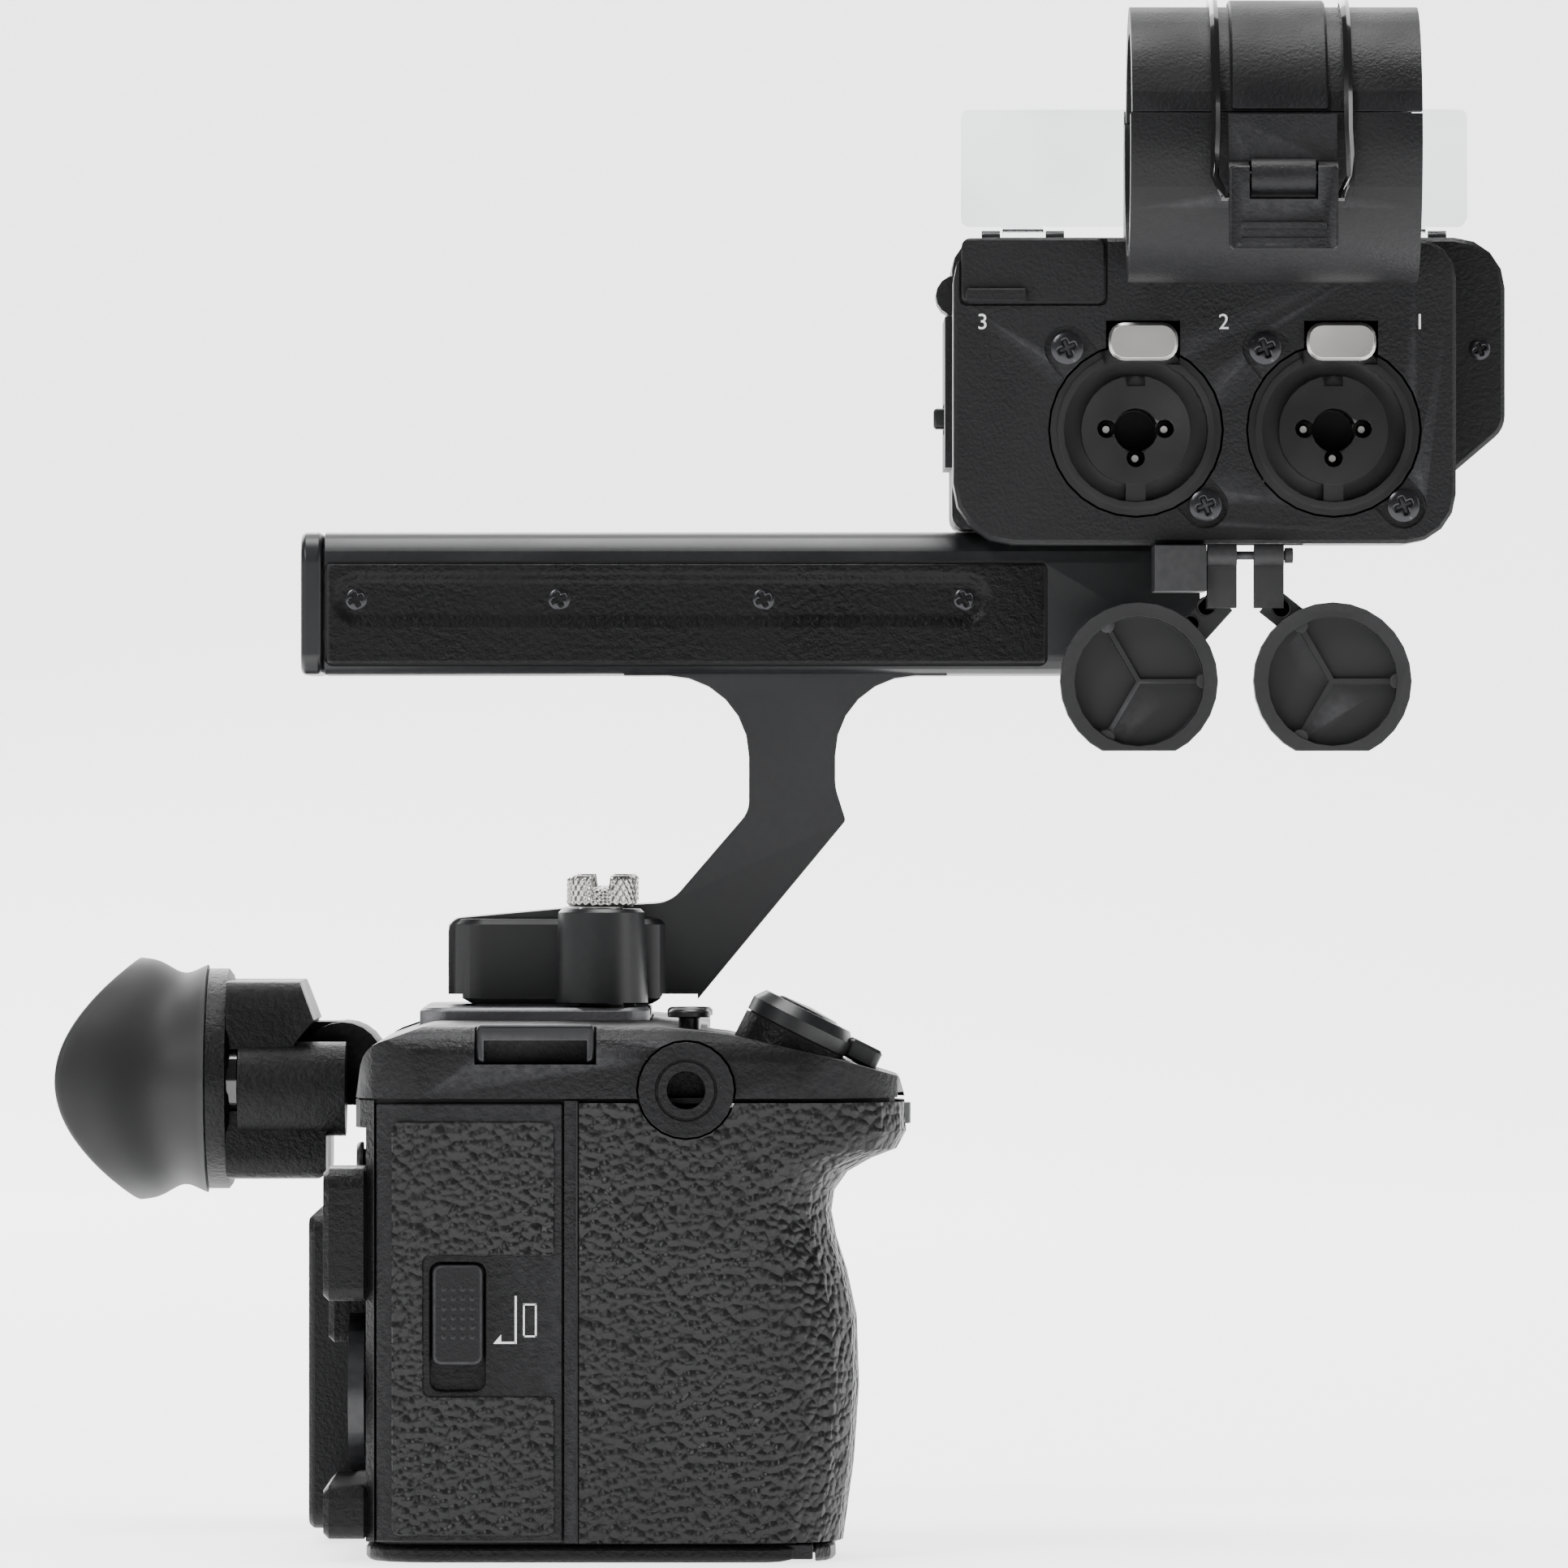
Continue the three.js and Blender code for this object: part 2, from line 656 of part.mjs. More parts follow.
function accessoryShoe() {
  const s = SHOE;
  const plate = slab(rectangle(s.back, s.front, -s.halfWidth, s.halfWidth, 4), "Z", s.low, s.high, 0.5);
  const rails = [-1, 1].map((side) => {
    const [a, b] = side < 0 ? [-12.6, -s.lip] : [s.lip, 12.6];
    return block(-19, 3.6, a, b, s.high - 0.5, RAIL_TOP);
  });
  const channel = block(-21, 10, -s.slot, s.slot, s.floor, 76.4);
  const mouth = block(-21, 10, -s.lip, s.lip, s.floor, 90);
  const holes = [-POST.y, POST.y].map((y) => rod("Z", [POST.x, y, 0], SCREW_R + GAP, 60, 90, 16));
  return cut(join(plate, ...rails), channel, mouth, ...holes);
}

function cardDoor() {
  const region = block(DOOR_BACK, DOOR_FRONT, -90, -60, BASE_TOP + 0.4, SEAM_Z - 0.4);
  const skin = cut(slab(bodyPlan(), "Z", 0, 90), slab(bodyPlan(SKIN), "Z", -1, 91)).intersect(region);
  const l = LATCH;
  const pocket = slab(
    rectangle(l.x - 3.8, l.x + 3.8, l.low - l.travel - GAP, l.high + GAP, 1.4),
    "Y",
    -90,
    BODY_RIGHT + 1,
  );
  return cut(skin, pocket);
}

function cardDoorLatch() {
  const l = LATCH;
  const shape = rectangle(l.x - l.width / 2, l.x + l.width / 2, l.low, l.high, 1.2);
  return slab(shape, "Y", BODY_RIGHT - 0.7, BODY_RIGHT + 0.7, 0.3);
}

function batteryDoor() {
  const d = BATTERY_DOOR;
  const door = block(d.back, d.front, d.right, d.hinge, d.low, BASE_TOP);
  return cut(door, block(18.7, 28.3, -64.3, -57.7, -1, 1.6));
}

const batteryLatch = () => slab(rectangle(19, 25, -64, -58, 1), "Z", 0.45, 1.3, 0.2);

function lensMountRing() {
  const annulus = (outer, inner, from, to, sides = 48) =>
    turned(
      [
        [inner, from],
        [outer - 0.8, from],
        [outer, from + 0.8],
        [outer, to - 0.6],
        [outer - 0.6, to],
        [inner, to],
        [inner, from],
      ],
      "X",
      [0, 0, LENS_Z],
      sides,
    );
  const ring = annulus(MOUNT_R, THROAT_R, BODY_FRONT + GAP, MOUNT_FACE, 36);
  const tab = (degrees) => {
    const arc = new THREE.Shape();
    const middle = THREE.MathUtils.degToRad(degrees);
    const half = THREE.MathUtils.degToRad(22);
    arc.absarc(0, LENS_Z, THROAT_R + 0.5, middle - half, middle + half, false);
    arc.absarc(0, LENS_Z, THROAT_R - 1.4, middle + half, middle - half, true);
    return slab(arc, "X", BODY_FRONT + 1.5, BODY_FRONT + 2.9, 0, 2);
  };
  return join(ring, tab(90), tab(210), tab(330));
}

function lensReleaseButton() {
  const centre = [0, RELEASE.y, RELEASE.z];
  return turned(
    [
      [0, 9.6],
      [2, 9.6],
      [2, BODY_FRONT + 1.9],
      [RELEASE.r, BODY_FRONT + 1.9],
      [RELEASE.r, BODY_FRONT + 3.8],
      [RELEASE.r - 0.6, BODY_FRONT + 4.4],
      [0, BODY_FRONT + 4.4],
    ],
    "X",
    centre,
    20,
  );
}

function sensorFrame() {
  const frame = block(-5, 1.5, -34, 34, 14, 60);
  const window = block(-6, 3, -19, 19, LENS_Z - 13, LENS_Z + 13);
  return cut(frame, window);
}

const imageSensor = () => block(-3, 0, -18.5, 18.5, LENS_Z - 12.5, LENS_Z + 12.5);
const mainBoard = () => block(-13, -11.4, -42, 48, 8, 60);
const battery = () =>
  slab(
    rectangle(BATTERY.front - BATTERY.x, BATTERY.front, BATTERY.right, BATTERY.right + BATTERY.y, 2),
    "Z",
    BATTERY.bottom,
    BATTERY.bottom + BATTERY.z,
  );

const portCover = (p) =>
  slab(rectangle(p.back, p.front, PORT_LOW, PORT_HIGH, 1.5), "Y", BODY_LEFT - 1.1, BODY_LEFT + 0.1, 0.3);

function frontDial() {
  const d = FRONT_DIAL;
  return slab(toothed(d.r, 0.7, 26, d.x, d.y), "Z", d.low, d.high - GAP);
}

function controlWheel() {
  const w = WHEEL;
  const wheel = slab(toothed(w.r, 0.5, 28, w.y, w.z), "X", w.back, CONTROL_BACK - GAP);
  const dish = rod("X", [0, w.y, w.z], 4.2, w.back - 1, w.back + 0.8, 24);
  const stem = rod("X", [0, w.y, w.z], 2, CONTROL_BACK - 1, CONTROL_BACK + 1.4, 16);
  return join(cut(wheel, dish), stem);
}

function rearButton() {
  return turned(
    [
      [0, -34.8],
      [2.6, -34.8],
      [3, -34.4],
      [3, CONTROL_BACK - 0.8],
      [2, CONTROL_BACK - 0.8],
      [2, CONTROL_BACK + 1.8],
      [0, CONTROL_BACK + 1.8],
    ],
    "X",
    [0, -52, 54.6],
    20,
  );
}

function topButton({ x, y, r }) {
  const foot = BODY_TOP + 0.9;
  return turned(
    [
      [0, 70.5],
      [1.5, 70.5],
      [1.5, foot],
      [r, foot],
      [r, foot + 0.8],
      [r - 0.4, foot + 1.2],
      [0, foot + 1.2],
    ],
    "Z",
    [x, y, 0],
    20,
  );
}

// The zoom lever is a ring round the dome with a finger tab in front.
function zoomLever() {
  const r = SHUTTER.r;
  const ring = turned(
    [
      [5.3, 1.5],
      [r, 1.5],
      [r, 3.4],
      [r - 1.2, 4.9],
      [5.3, 4.9],
      [5.3, 1.5],
    ],
    "Z",
    [0, 0, 0],
    28,
  );
  const tab = slab(rectangle(r - 1, r + 4.2, -2.6, 2.6, 1), "Z", 1.5, 4.4, 0.4);
  return tilted(join(ring, tab));
}

function shutterButton() {
  const cap = turned(
    [
      [0, -3.4],
      [1.8, -3.4],
      [1.8, 2.6],
      [5, 2.6],
      [5, 4.6],
      [4.2, 5.2],
      [0, 5.5],
    ],
    "Z",
    [0, 0, 0],
    24,
  );
  return tilted(cap);
}

// ---------------------------------------------------------------------------------------------------------
// Monitor and viewfinder
// ---------------------------------------------------------------------------------------------------------

function monitorCase() {
  const m = MONITOR;
  const shell = slab(rectangle(m.right, m.left, m.low, m.high, 2.5), "X", m.back, m.front, 0.7);
  const pocket = block(m.back - 1, m.back + 1.6, m.right + 4, m.left - 4, m.low + 4, m.high - 4);
  return cut(shell, pocket);
}

function monitorScreen() {
  const m = MONITOR;
  const edge = 4 + GAP;
  return block(m.back + 0.1, m.back + 1.3, m.right + edge, m.left - edge, m.low + edge, m.high - edge);
}

function monitorArm() {
  const knuckle = rod("Z", [ARM.x, ARM.y, 0], ARM.r, ARM.low, ARM.high, 20);
  const leaf = block(ARM.x - 2.4, ARM.x + 2.4, MONITOR.left + GAP, ARM.y, ARM.low, ARM.high);
  const pin = rod("Z", [ARM.x, ARM.y, 0], 1.2, ARM.low - 2.6, ARM.high + 2.6, 12);
  return join(knuckle, leaf, pin);
}

function evfBase() {
  const { pivotX, pivotZ, pivotR, y } = EVF;
  const cheek = (from, to) => {
    const neck = block(pivotX, -30, from, to, pivotZ - pivotR, pivotZ + 3.1);
    return join(rod("Y", [pivotX, 0, pivotZ], pivotR, from, to, 24), neck);
  };
  const inner = BARREL.y + BARREL.r + 2 * GAP;
  const bracket = cut(
    block(-34, -26, inner, y + EVF.halfWidth - GAP, 58.5, 70),
    rod("Y", [pivotX, 0, pivotZ], pivotR + 0.4, y - 3.3, y + 11.3, 24),
    block(-40, pivotX + pivotR + 0.4, y - 3.3, y + 11.3, pivotZ, 80),
  );
  const pin = rod("Y", [pivotX, 0, pivotZ], 1.5, inner + 1, y + 16, 16);
  return join(cheek(inner, y - 3.3), cheek(y + 11.3, y + EVF.halfWidth - GAP), bracket, pin);
}

function evfHousing() {
  const { pivotX, pivotZ, pivotR, y, halfWidth, back, low, high } = EVF;
  const side = outline([
    [back, low, 0.8],
    [-41.2, low, 1.5],
    [-41.2, 59.8],
    [-45.9, 64.5],
    [-45.9, 70],
    [-43, 73.4],
    [-45.1, high],
    [back, high],
  ]);
  const front = rectangle(y - halfWidth, y + halfWidth, low, high, 3);
  const hull = slab(side, "Y", 0, 60).intersect(slab(front, "X", -60, -30));
  const lug = join(
    rod("Y", [pivotX, 0, pivotZ], pivotR, y - 3, y + 11, 24),
    block(-46.9, pivotX, y - 3, y + 11, pivotZ - 3, pivotZ + pivotR),
  );
  const b = BARREL;
  const barrel = rod("X", [0, b.y, b.z], b.r, -53.9, b.front, 28);
  const ring = turned(
    [
      [0, 0],
      [16, 0],
      [16, 2.8],
      [15.2, 3.4],
      [0, 3.4],
    ],
    "X",
    [0, 0, 0],
    36,
  )
    .scale([1, 1.3, 1])
    .translate([EYECUP.seat + GAP, y, EVF.z]);
  const pinHole = rod("Y", [pivotX, 0, pivotZ], 1.8, y - 10, y + 20, 16);
  const ocularSeat = rod("X", [0, y, EVF.z], 10.3, EYECUP.seat - 1, -54, 28);
  const dialRoom = rod("X", [0, b.y, b.z + 1.3], 5.4, -56.1, -53.8, 24);
  const dialStem = rod("X", [0, b.y, b.z + 1.3], 1.8, -56, -50, 12);
  return cut(join(hull, lug, barrel, ring), pinHole, ocularSeat, dialRoom, dialStem);
}

function diopterDial() {
  const centre = [0, BARREL.y, BARREL.z + 1.3];
  const wheel = slab(toothed(5, 0.45, 20, centre[1], centre[2]), "X", -55.8, -54.1);
  return join(wheel, rod("X", centre, 1.5, -54.5, -50.3, 12));
}

const ocularLens = () =>
  turned(
    [
      [0, -58],
      [6, -57.7],
      [10, -56.6],
      [10, -54.3],
      [0, -54.3],
    ],
    "X",
    [0, EVF.y, EVF.z],
    28,
  );

// The eyecup is a bell whose rim sweeps back at both sides like a saddle. Each loop is [place along the
// depth from seat (0) to rim (1), upright half size, sideways half size].
function eyecup() {
  const sides = 28;
  const rimAt = (angle) => EYECUP.rim - EYECUP.wing * Math.cos(angle) ** 2;
  const loops = [
    [0, 15.6, 20.4],
    [0.35, 15.2, 20],
    [0.75, 16, 21],
    [1, EYECUP.halfZ, EYECUP.halfY],
    [1.02, EYECUP.halfZ - 1.4, EYECUP.halfY - 1.4],
    [0.75, 14.2, 18.8],
    [0.35, 12.6, 16.6],
    [0.2, 10.8, 13],
    [0, 10.8, 13],
  ];
  const rings = loops.map(([depth, halfZ, halfY]) =>
    Array.from({ length: sides }, (_, i) => {
      const angle = (i / sides) * 2 * Math.PI;
      const x = THREE.MathUtils.lerp(EYECUP.seat, rimAt(angle), depth);
      return new THREE.Vector3(x, EVF.y + halfY * Math.cos(angle), EVF.z + halfZ * Math.sin(angle));
    }),
  );
  return lofted(rings, true);
}

// ---------------------------------------------------------------------------------------------------------
// Handle
// ---------------------------------------------------------------------------------------------------------

// The tube's section, drawn in from the outside by an inset.
const tubeSection = (inset = 0) =>
  outline([
    [-TUBE.halfWidth + inset, TUBE.low + inset, 3],
    [TUBE.halfWidth - inset, TUBE.low + inset, 3],
    [TUBE.halfWidth - inset, TUBE.high - inset, 4.5],
    [-TUBE.halfWidth + inset, TUBE.high - inset, 4.5],
  ]);

// The recess in one side of the tube that the inlay panel fills.
const PANEL = { back: -40.3, front: 62, low: 124.6, high: 138.9, depth: 1, groove: 133.8 };

// The groove that runs along both sides of the tube.
const grooveShape = () => rectangle(-38.9, 53.7, PANEL.groove - 3.1, PANEL.groove + 3.1, 3);

function handleShell() {
  const tube = slab(tubeSection(), "X", TUBE.back, TUBE.front, 0, 2);
  const stemSide = outline([
    [2, 126],
    [2, TUBE.low - 0.05],
    [19.8, TUBE.low - 0.05, 11.5],
    [19.8, 103.6, 4],
    [8.6, 90.6, 5],
    [-5, 89.9],
    [-23, 88.3, 2],
    [-23, 76.2],
    [12, 76.2, 0.6],
    [33.6, 102.3, 0.8],
    [32.1, 107, 8],
    [32.1, TUBE.low - 0.05, 11.4],
    [48, TUBE.low - 0.05],
    [48, 126],
  ]);
  const stem = slab(stemSide, "Y", -STEM_HALF, STEM_HALF, 0, 3);
  const post = (side) => {
    const y = side * POST.y;
    const body = turned(
      [
        [0, POST.low],
        [POST.r + 0.3, POST.low],
        [POST.r - 0.2, POST.high - 0.5],
        [POST.r - 0.7, POST.high],
        [0, POST.high],
      ],
      "Z",
      [POST.x, y, 0],
      20,
    );
    const [a, b] = side < 0 ? [y, 0] : [0, y];
    return join(body, block(POST.x - 4.6, POST.x + 4.6, a, b, POST.low + 2, 87.5));
  };
  const foot = slab(
    outline([
      [-23, -14, 5],
      [8, -14, 3],
      [8, 14, 3],
      [-23, 14, 5],
    ]),
    "Z",
    76.2,
    88.3,
    0.8,
  );
  const screwHoles = [-1, 1].map((side) =>
    rod("Z", [POST.x, side * POST.y, 0], SCREW_R + GAP, 60, 100, 16),
  );
  const railRoom = block(-23.5, 12.5, -12.9, 12.9, 70, RAIL_TOP + GAP);
  const hotShoe = join(
    block(-17, 2.6, -7.1, 7.1, 76, 80),
    block(-17, 2.6, -9.1, 9.1, SHOE.floor + 0.2, 76.1),
  );
  const panelRoom = slab(
    rectangle(PANEL.back - GAP, PANEL.front + GAP, PANEL.low - GAP, PANEL.high + GAP, 1.2),
    "Y",
    -20,
    -TUBE.halfWidth + PANEL.depth + GAP,
  );
  const leftGroove = slab(grooveShape(), "Y", TUBE.halfWidth - 0.7, 20);
  const casting = join(tube, stem, foot, post(-1), post(1));
  return join(cut(casting, railRoom, panelRoom, leftGroove, ...screwHoles), hotShoe);
}

function handlePanel() {
  const p = PANEL;
  const outer = -TUBE.halfWidth;
  const plate = slab(rectangle(p.back, p.front, p.low, p.high, 1), "Y", outer, outer + p.depth, 0.2);
  return cut(plate, slab(grooveShape(), "Y", -20, outer + 0.5));
}

const handleEndCap = () => slab(tubeSection(), "X", TUBE.back - 3.4, TUBE.back - GAP, 0.5, 2);

function thumbscrew(side) {
  const centre = [POST.x, side * POST.y, 0];
  const head = slab(toothed(KNOB.r, 0.4, 24, centre[0], centre[1]), "Z", KNOB.low, KNOB.high);
  const shank = rod("Z", centre, SCREW_R, SHOE.low + 0.5, KNOB.low + 0.1, 16);
  const slot = block(centre[0] - 1.3, centre[0] + 1.3, centre[1] - 9, centre[1] + 9, KNOB.high - 1.8, 99);
  return cut(join(head, shank), slot);
}

// ---------------------------------------------------------------------------------------------------------
// Audio unit
// ---------------------------------------------------------------------------------------------------------

const unitOutline = (inset = 0) =>
  outline([
    [UNIT.back + inset, UNIT.low + inset, 8.5 - inset],
    [UNIT.front - inset, UNIT.low + inset, 7 - inset],
    [UNIT.front - inset, UNIT.plateHigh - inset, 5.7 - inset],
    [UNIT.back + inset, UNIT.plateHigh - inset, 6 - inset],
  ]);

// The rear half of the unit stands above the handle tube and reaches past the jack plate's front edge.
const rearOutline = (inset = 0) =>
  outline([
    [UNIT.back + inset, TUBE.high + GAP + inset, 2],
    [TUBE.front + 2 - inset, TUBE.high + GAP + inset],
    [TUBE.front + 8 - inset, 150.1 + inset],
    [118 - inset, 150.1 + inset, 3],
    [UNIT.nose - inset, 158 + inset, 4],
    [UNIT.nose - inset, UNIT.high - inset, 7.2 - inset],
    [UNIT.back + inset, UNIT.high - inset, 4.6 - inset],
  ]);

function audioCase() {
  const face = UNIT.plate + UNIT.plateT + GAP;
  const jackHalf = slab(unitOutline(), "Y", face, DIVIDE);
  const rearHalf = slab(rearOutline(), "Y", DIVIDE - 0.5, UNIT.left, 0.6);
  const jackHollow = slab(unitOutline(WALL), "Y", face - 1, DIVIDE - WALL);
  const rearHollow = slab(rearOutline(WALL), "Y", DIVIDE + WALL, UNIT.left - WALL);
  const passage = block(UNIT.back + 8, UNIT.front - 8, DIVIDE - 4, DIVIDE + 4, 150, 178);
  const tubeHalf = TUBE.halfWidth + GAP;
  const seat = block(40, TUBE.front + GAP, -tubeHalf, tubeHalf, 120, TUBE.high + GAP);
  const dialHoles = AUDIO_DIALS.map((d) => rod("Y", [d.x, 0, d.z], 1.8, 15, 40, 12));
  const knob = rod("Y", [UNIT.back + 0.6, 0, 177], 2.9, -14, -2, 16);
  const spine = block(UNIT.back - 1, UNIT.back + 1, -14, 18, 152.5, 174);
  const switchRoom = block(40, UNIT.back + 0.2, -4.5, 8.5, 157.6, 162);
  return cut(
    join(jackHalf, rearHalf, knob, spine),
    jackHollow,
    rearHollow,
    passage,
    seat,
    switchRoom,
    capHingeRoom,
    coverRoom,
    ...dialHoles,
  );
}

const AUDIO_DIALS = [
  { name: "audio_dial_1", x: 80, z: 170 },
  { name: "audio_dial_2", x: 100, z: 170 },
];

const audioSwitch = () =>
  slab(rectangle(-1, 3, 158.3, 161.3, 0.6), "X", UNIT.back - 2.5, UNIT.back - 0.1, 0.3);

// A round recess for a jack's screw with a straight neck that runs into the jack's hole.
function screwLobe(x, [u, v]) {
  const half = 3.2;
  const floor = UNIT.plate + 0.8;
  const screw = new THREE.Vector2(x + u, JACK_Z + v);
  const inward = new THREE.Vector2(-u, -v).normalize();
  const side = new THREE.Vector2(-inward.y, inward.x).multiplyScalar(half);
  const far = screw.clone().addScaledVector(inward, 8);
  const neck = new THREE.Shape([
    screw.clone().add(side),
    screw.clone().sub(side),
    far.clone().sub(side),
    far.clone().add(side),
  ]);
  return join(rod("Y", [screw.x, 0, screw.y], half, -60, floor, 20), slab(neck, "Y", -60, floor));
}

function jackPlate() {
  const p = UNIT.plate;
  const plate = slab(unitOutline(), "Y", p, p + UNIT.plateT, 0.5, 2);
  const jackHoles = JACKS.map((x) => rod("Y", [x, 0, JACK_Z], JACK_R + GAP, -60, 0, 28));
  const tabRooms = JACKS.map((x) =>
    block(x - TAB.width / 2 + TAB.x - GAP, x + TAB.width / 2 + TAB.x + GAP, -60, 0, JACK_Z, TAB.z + 3),
  );
  const f = FLAP;
  const flapPlan = rectangle(f.back - GAP, f.front + GAP, f.low - GAP, f.high + 9, 1);
  const flapRoom = slab(flapPlan, "Y", -60, p + 0.9);
  const socket = rod("Y", [60, 0, 180], 1.8, -60, 0, 14);
  const lobes = JACKS.flatMap((x) => JACK_LOBES.map((lobe) => screwLobe(x, lobe)));
  return cut(plate, ...jackHoles, ...tabRooms, flapRoom, socket, ...lobes);
}

function audioJack(x) {
  const p = UNIT.plate;
  const back = p + JACK_DEPTH;
  const body = turned(
    [
      [0, p + 1],
      [JACK_R - 4.4, p + 1],
      [JACK_R - 4.4, p + 8],
      [JACK_R - 1.9, p + 8],
      [JACK_R - 1.9, p],
      [JACK_R - 1, p],
      [JACK_R - 1, p + 0.9],
      [JACK_R, p + 0.9],
      [JACK_R, back],
      [0, back],
    ],
    "Y",
    [x, 0, JACK_Z],
    28,
  );
  const centreHole = rod("Y", [x, 0, JACK_Z], 3.1, -60, back - 2, 20);
  const pins = PLUG_PINS.map(([u, v]) => rod("Y", [x + u, 0, JACK_Z + v], 1.35, -60, back - 5, 12));
  const keyway = block(x - 1.3, x + 1.3, -60, p + 3, JACK_Z + 6.2, JACK_Z + 8.5);
  const tongue = block(x - 1.4, x + 1.4, p + 1.6, p + 6, JACK_Z - JACK_R + 1.5, JACK_Z - 6.2);
  const half = TAB.width / 2 + GAP;
  const middle = x + TAB.x;
  const tabRoom = block(middle - half, middle + half, -60, p + 3.4, JACK_Z + JACK_R - 2.9, JACK_Z + 20);
  return cut(join(body, tongue), centreHole, ...pins, keyway, tabRoom);
}

function pushTab(x) {
  const middle = x + TAB.x;
  const half = TAB.width / 2;
  const face = slab(
    rectangle(middle - half, middle + half, TAB.z - TAB.height / 2, TAB.z + TAB.height / 2, 2.2),
    "Y",
    UNIT.plate - 1.6,
    UNIT.plate - 0.1,
    0.4,
  );
  const stem = block(middle - 3.4, middle + 3.4, UNIT.plate - 0.6, UNIT.plate + 2, TAB.z - 2.4, TAB.z + 1);
  return join(face, stem);
}

function inputFlap() {
  const f = FLAP;
  const plan = rectangle(f.back, f.front, f.low, f.high, 1.2);
  const skin = slab(plan, "Y", UNIT.plate - 0.5, UNIT.plate + 0.6, 0.3);
  const pull = slab(rectangle(50.4, 59, 175.5, 177.3, 0.4), "Y", UNIT.plate - 1.6, UNIT.plate - 0.2, 0.2);
  return join(skin, pull);
}

// Room under the unit for the block that carries the jack caps.
const capHingeRoom = block(76.9 - GAP, 98 + GAP, -40, -20, 130, 142.6 + GAP);

function capHinge() {
  const mountBlock = block(76.9, 84.2, -38, -20, 134.6, UNIT.low - GAP);
  const bar = rod("X", [0, CAP_BAR.y, CAP_BAR.z], CAP_BAR.r, 84, 96.4, 12);
  const head = rod("X", [0, CAP_BAR.y, CAP_BAR.z], 1.1, 95.2, 96.4, 12);
  return join(mountBlock, bar, head);
}

function jackCap({ x, strap, meets }) {
  const { y, z } = CAP_BAR;
  const centreZ = z - CAP.drop;
  const front = y - CAP.rim + 0.8;
  const back = y + 0.8 + CAP.web;
  const disc = cut(
    rod("Y", [x, 0, centreZ], CAP.r, front, back, 28),
    rod("Y", [x, 0, centreZ], CAP.inner, front - 1, back - CAP.web, 24),
  );
  const ribs = [0, 120, 240].map((turn) => {
    const rib = slab(rectangle(0, CAP.inner + 0.3, -0.4, 0.4), "Y", back - CAP.web - 1.4, back - 0.2);
    const bump = rod("Y", [CAP.inner, 0, 0], 1.1, front + 0.3, back - 0.2, 12);
    return join(rib, bump).rotate([0, turn, 0]).translate([x, 0, centreZ]);
  });
  const notch = block(x - 5.6, x + 5.6, front - 1, back + 1, centreZ - 20, centreZ - CAP.flat);
  const half = CAP.strap / 2;
  const reach = CAP.r - 1;
  const start = new THREE.Vector2(strap, z - 6.3);
  const angle = THREE.MathUtils.degToRad(meets);
  const end = new THREE.Vector2(x + reach * Math.cos(angle), centreZ + reach * Math.sin(angle));
  const toDisc = end.clone().sub(start).normalize();
  const side = new THREE.Vector2(-toDisc.y, toDisc.x).multiplyScalar(half);
  const slant = new THREE.Shape([
    start.clone().add(side),
    end.clone().add(side),
    end.clone().sub(side),
    start.clone().sub(side),
  ]);
  const arm = join(
    block(strap - half, strap + half, y - 0.1, back, z - 7.4, z),
    slab(slant, "Y", back - 1.3, back),
    rod("X", [0, y, z], 1.6, strap - half, strap + half, 16),
  );
  const eye = rod("X", [0, y, z], CAP_BAR.r + 0.25, strap - 3, strap + 3, 12);
  return cut(join(cut(disc, notch), ...ribs, arm), eye);
}

function controlPanel() {
  const panel = slab(
    outline([
      [53, 153, 4],
      [122, 156, 4],
      [122, 180.5, 4],
      [53, 180.5, 4],
    ]),
    "Y",
    UNIT.left + GAP,
    UNIT.left + 1.8,
    0.3,
  );
  return cut(panel, ...AUDIO_DIALS.map((d) => rod("Y", [d.x, 0, d.z], 1.8, 15, 40, 12)));
}

function audioDial({ x, z }) {
  const wheel = slab(toothed(4.6, 0.4, 20, x, z), "Y", UNIT.left + 2.1, UNIT.left + 4.2);
  return join(wheel, rod("Y", [x, 0, z], 1.5, UNIT.left - 4, UNIT.left + 2.4, 12));
}

// The clear cover swings on two pins at its lower corners and hangs over the control panel when it is shut.
const coverRoom = block(40, 130, COVER.y - 3, 60, COVER.z - 4, COVER.z + 30);

function clearCover() {
  const c = COVER;
  const sheet = slab(
    rectangle(c.back, c.front, c.z + 1.8, c.top, 1.2),
    "Y",
    c.y - 0.4 - c.thickness,
    c.y - 0.4,
  );
  const knuckle = (from, to) =>
    join(
      rod("X", [0, c.y, c.z], 1.5, from, to, 16),
      block(from, to, c.y - 1.4, c.y - 0.4, c.z, c.z + 2.6),
    );
  return join(sheet, knuckle(c.back + 6, c.back + 12), knuckle(c.front - 12, c.front - 6));
}

// Lugs on the control panel hold the clear cover's pins.
function coverLugs() {
  const c = COVER;
  const lug = (from, to) =>
    join(
      rod("X", [0, c.y, c.z], 1.3, from, to, 14),
      block(from, to, UNIT.left + GAP, c.y, 181, c.z),
    );
  const panelRise = (from, to) => block(from, to, UNIT.left + GAP, UNIT.left + 1.8, 178, 182);
  return [
    [c.back + 3, c.back + 5.7],
    [c.back + 12.3, c.back + 15],
    [c.front - 15, c.front - 12.3],
    [c.front - 5.7, c.front - 3],
  ].flatMap(([from, to]) => [lug(from, to), panelRise(from, to)]);
}

// ---------------------------------------------------------------------------------------------------------
// Microphone holder
// ---------------------------------------------------------------------------------------------------------

const holderRod = (radius, from = HOLDER.back, to = HOLDER.front, sides = 36) =>
  rod("X", [0, HOLDER.y, HOLDER.z], radius, from, to, sides);

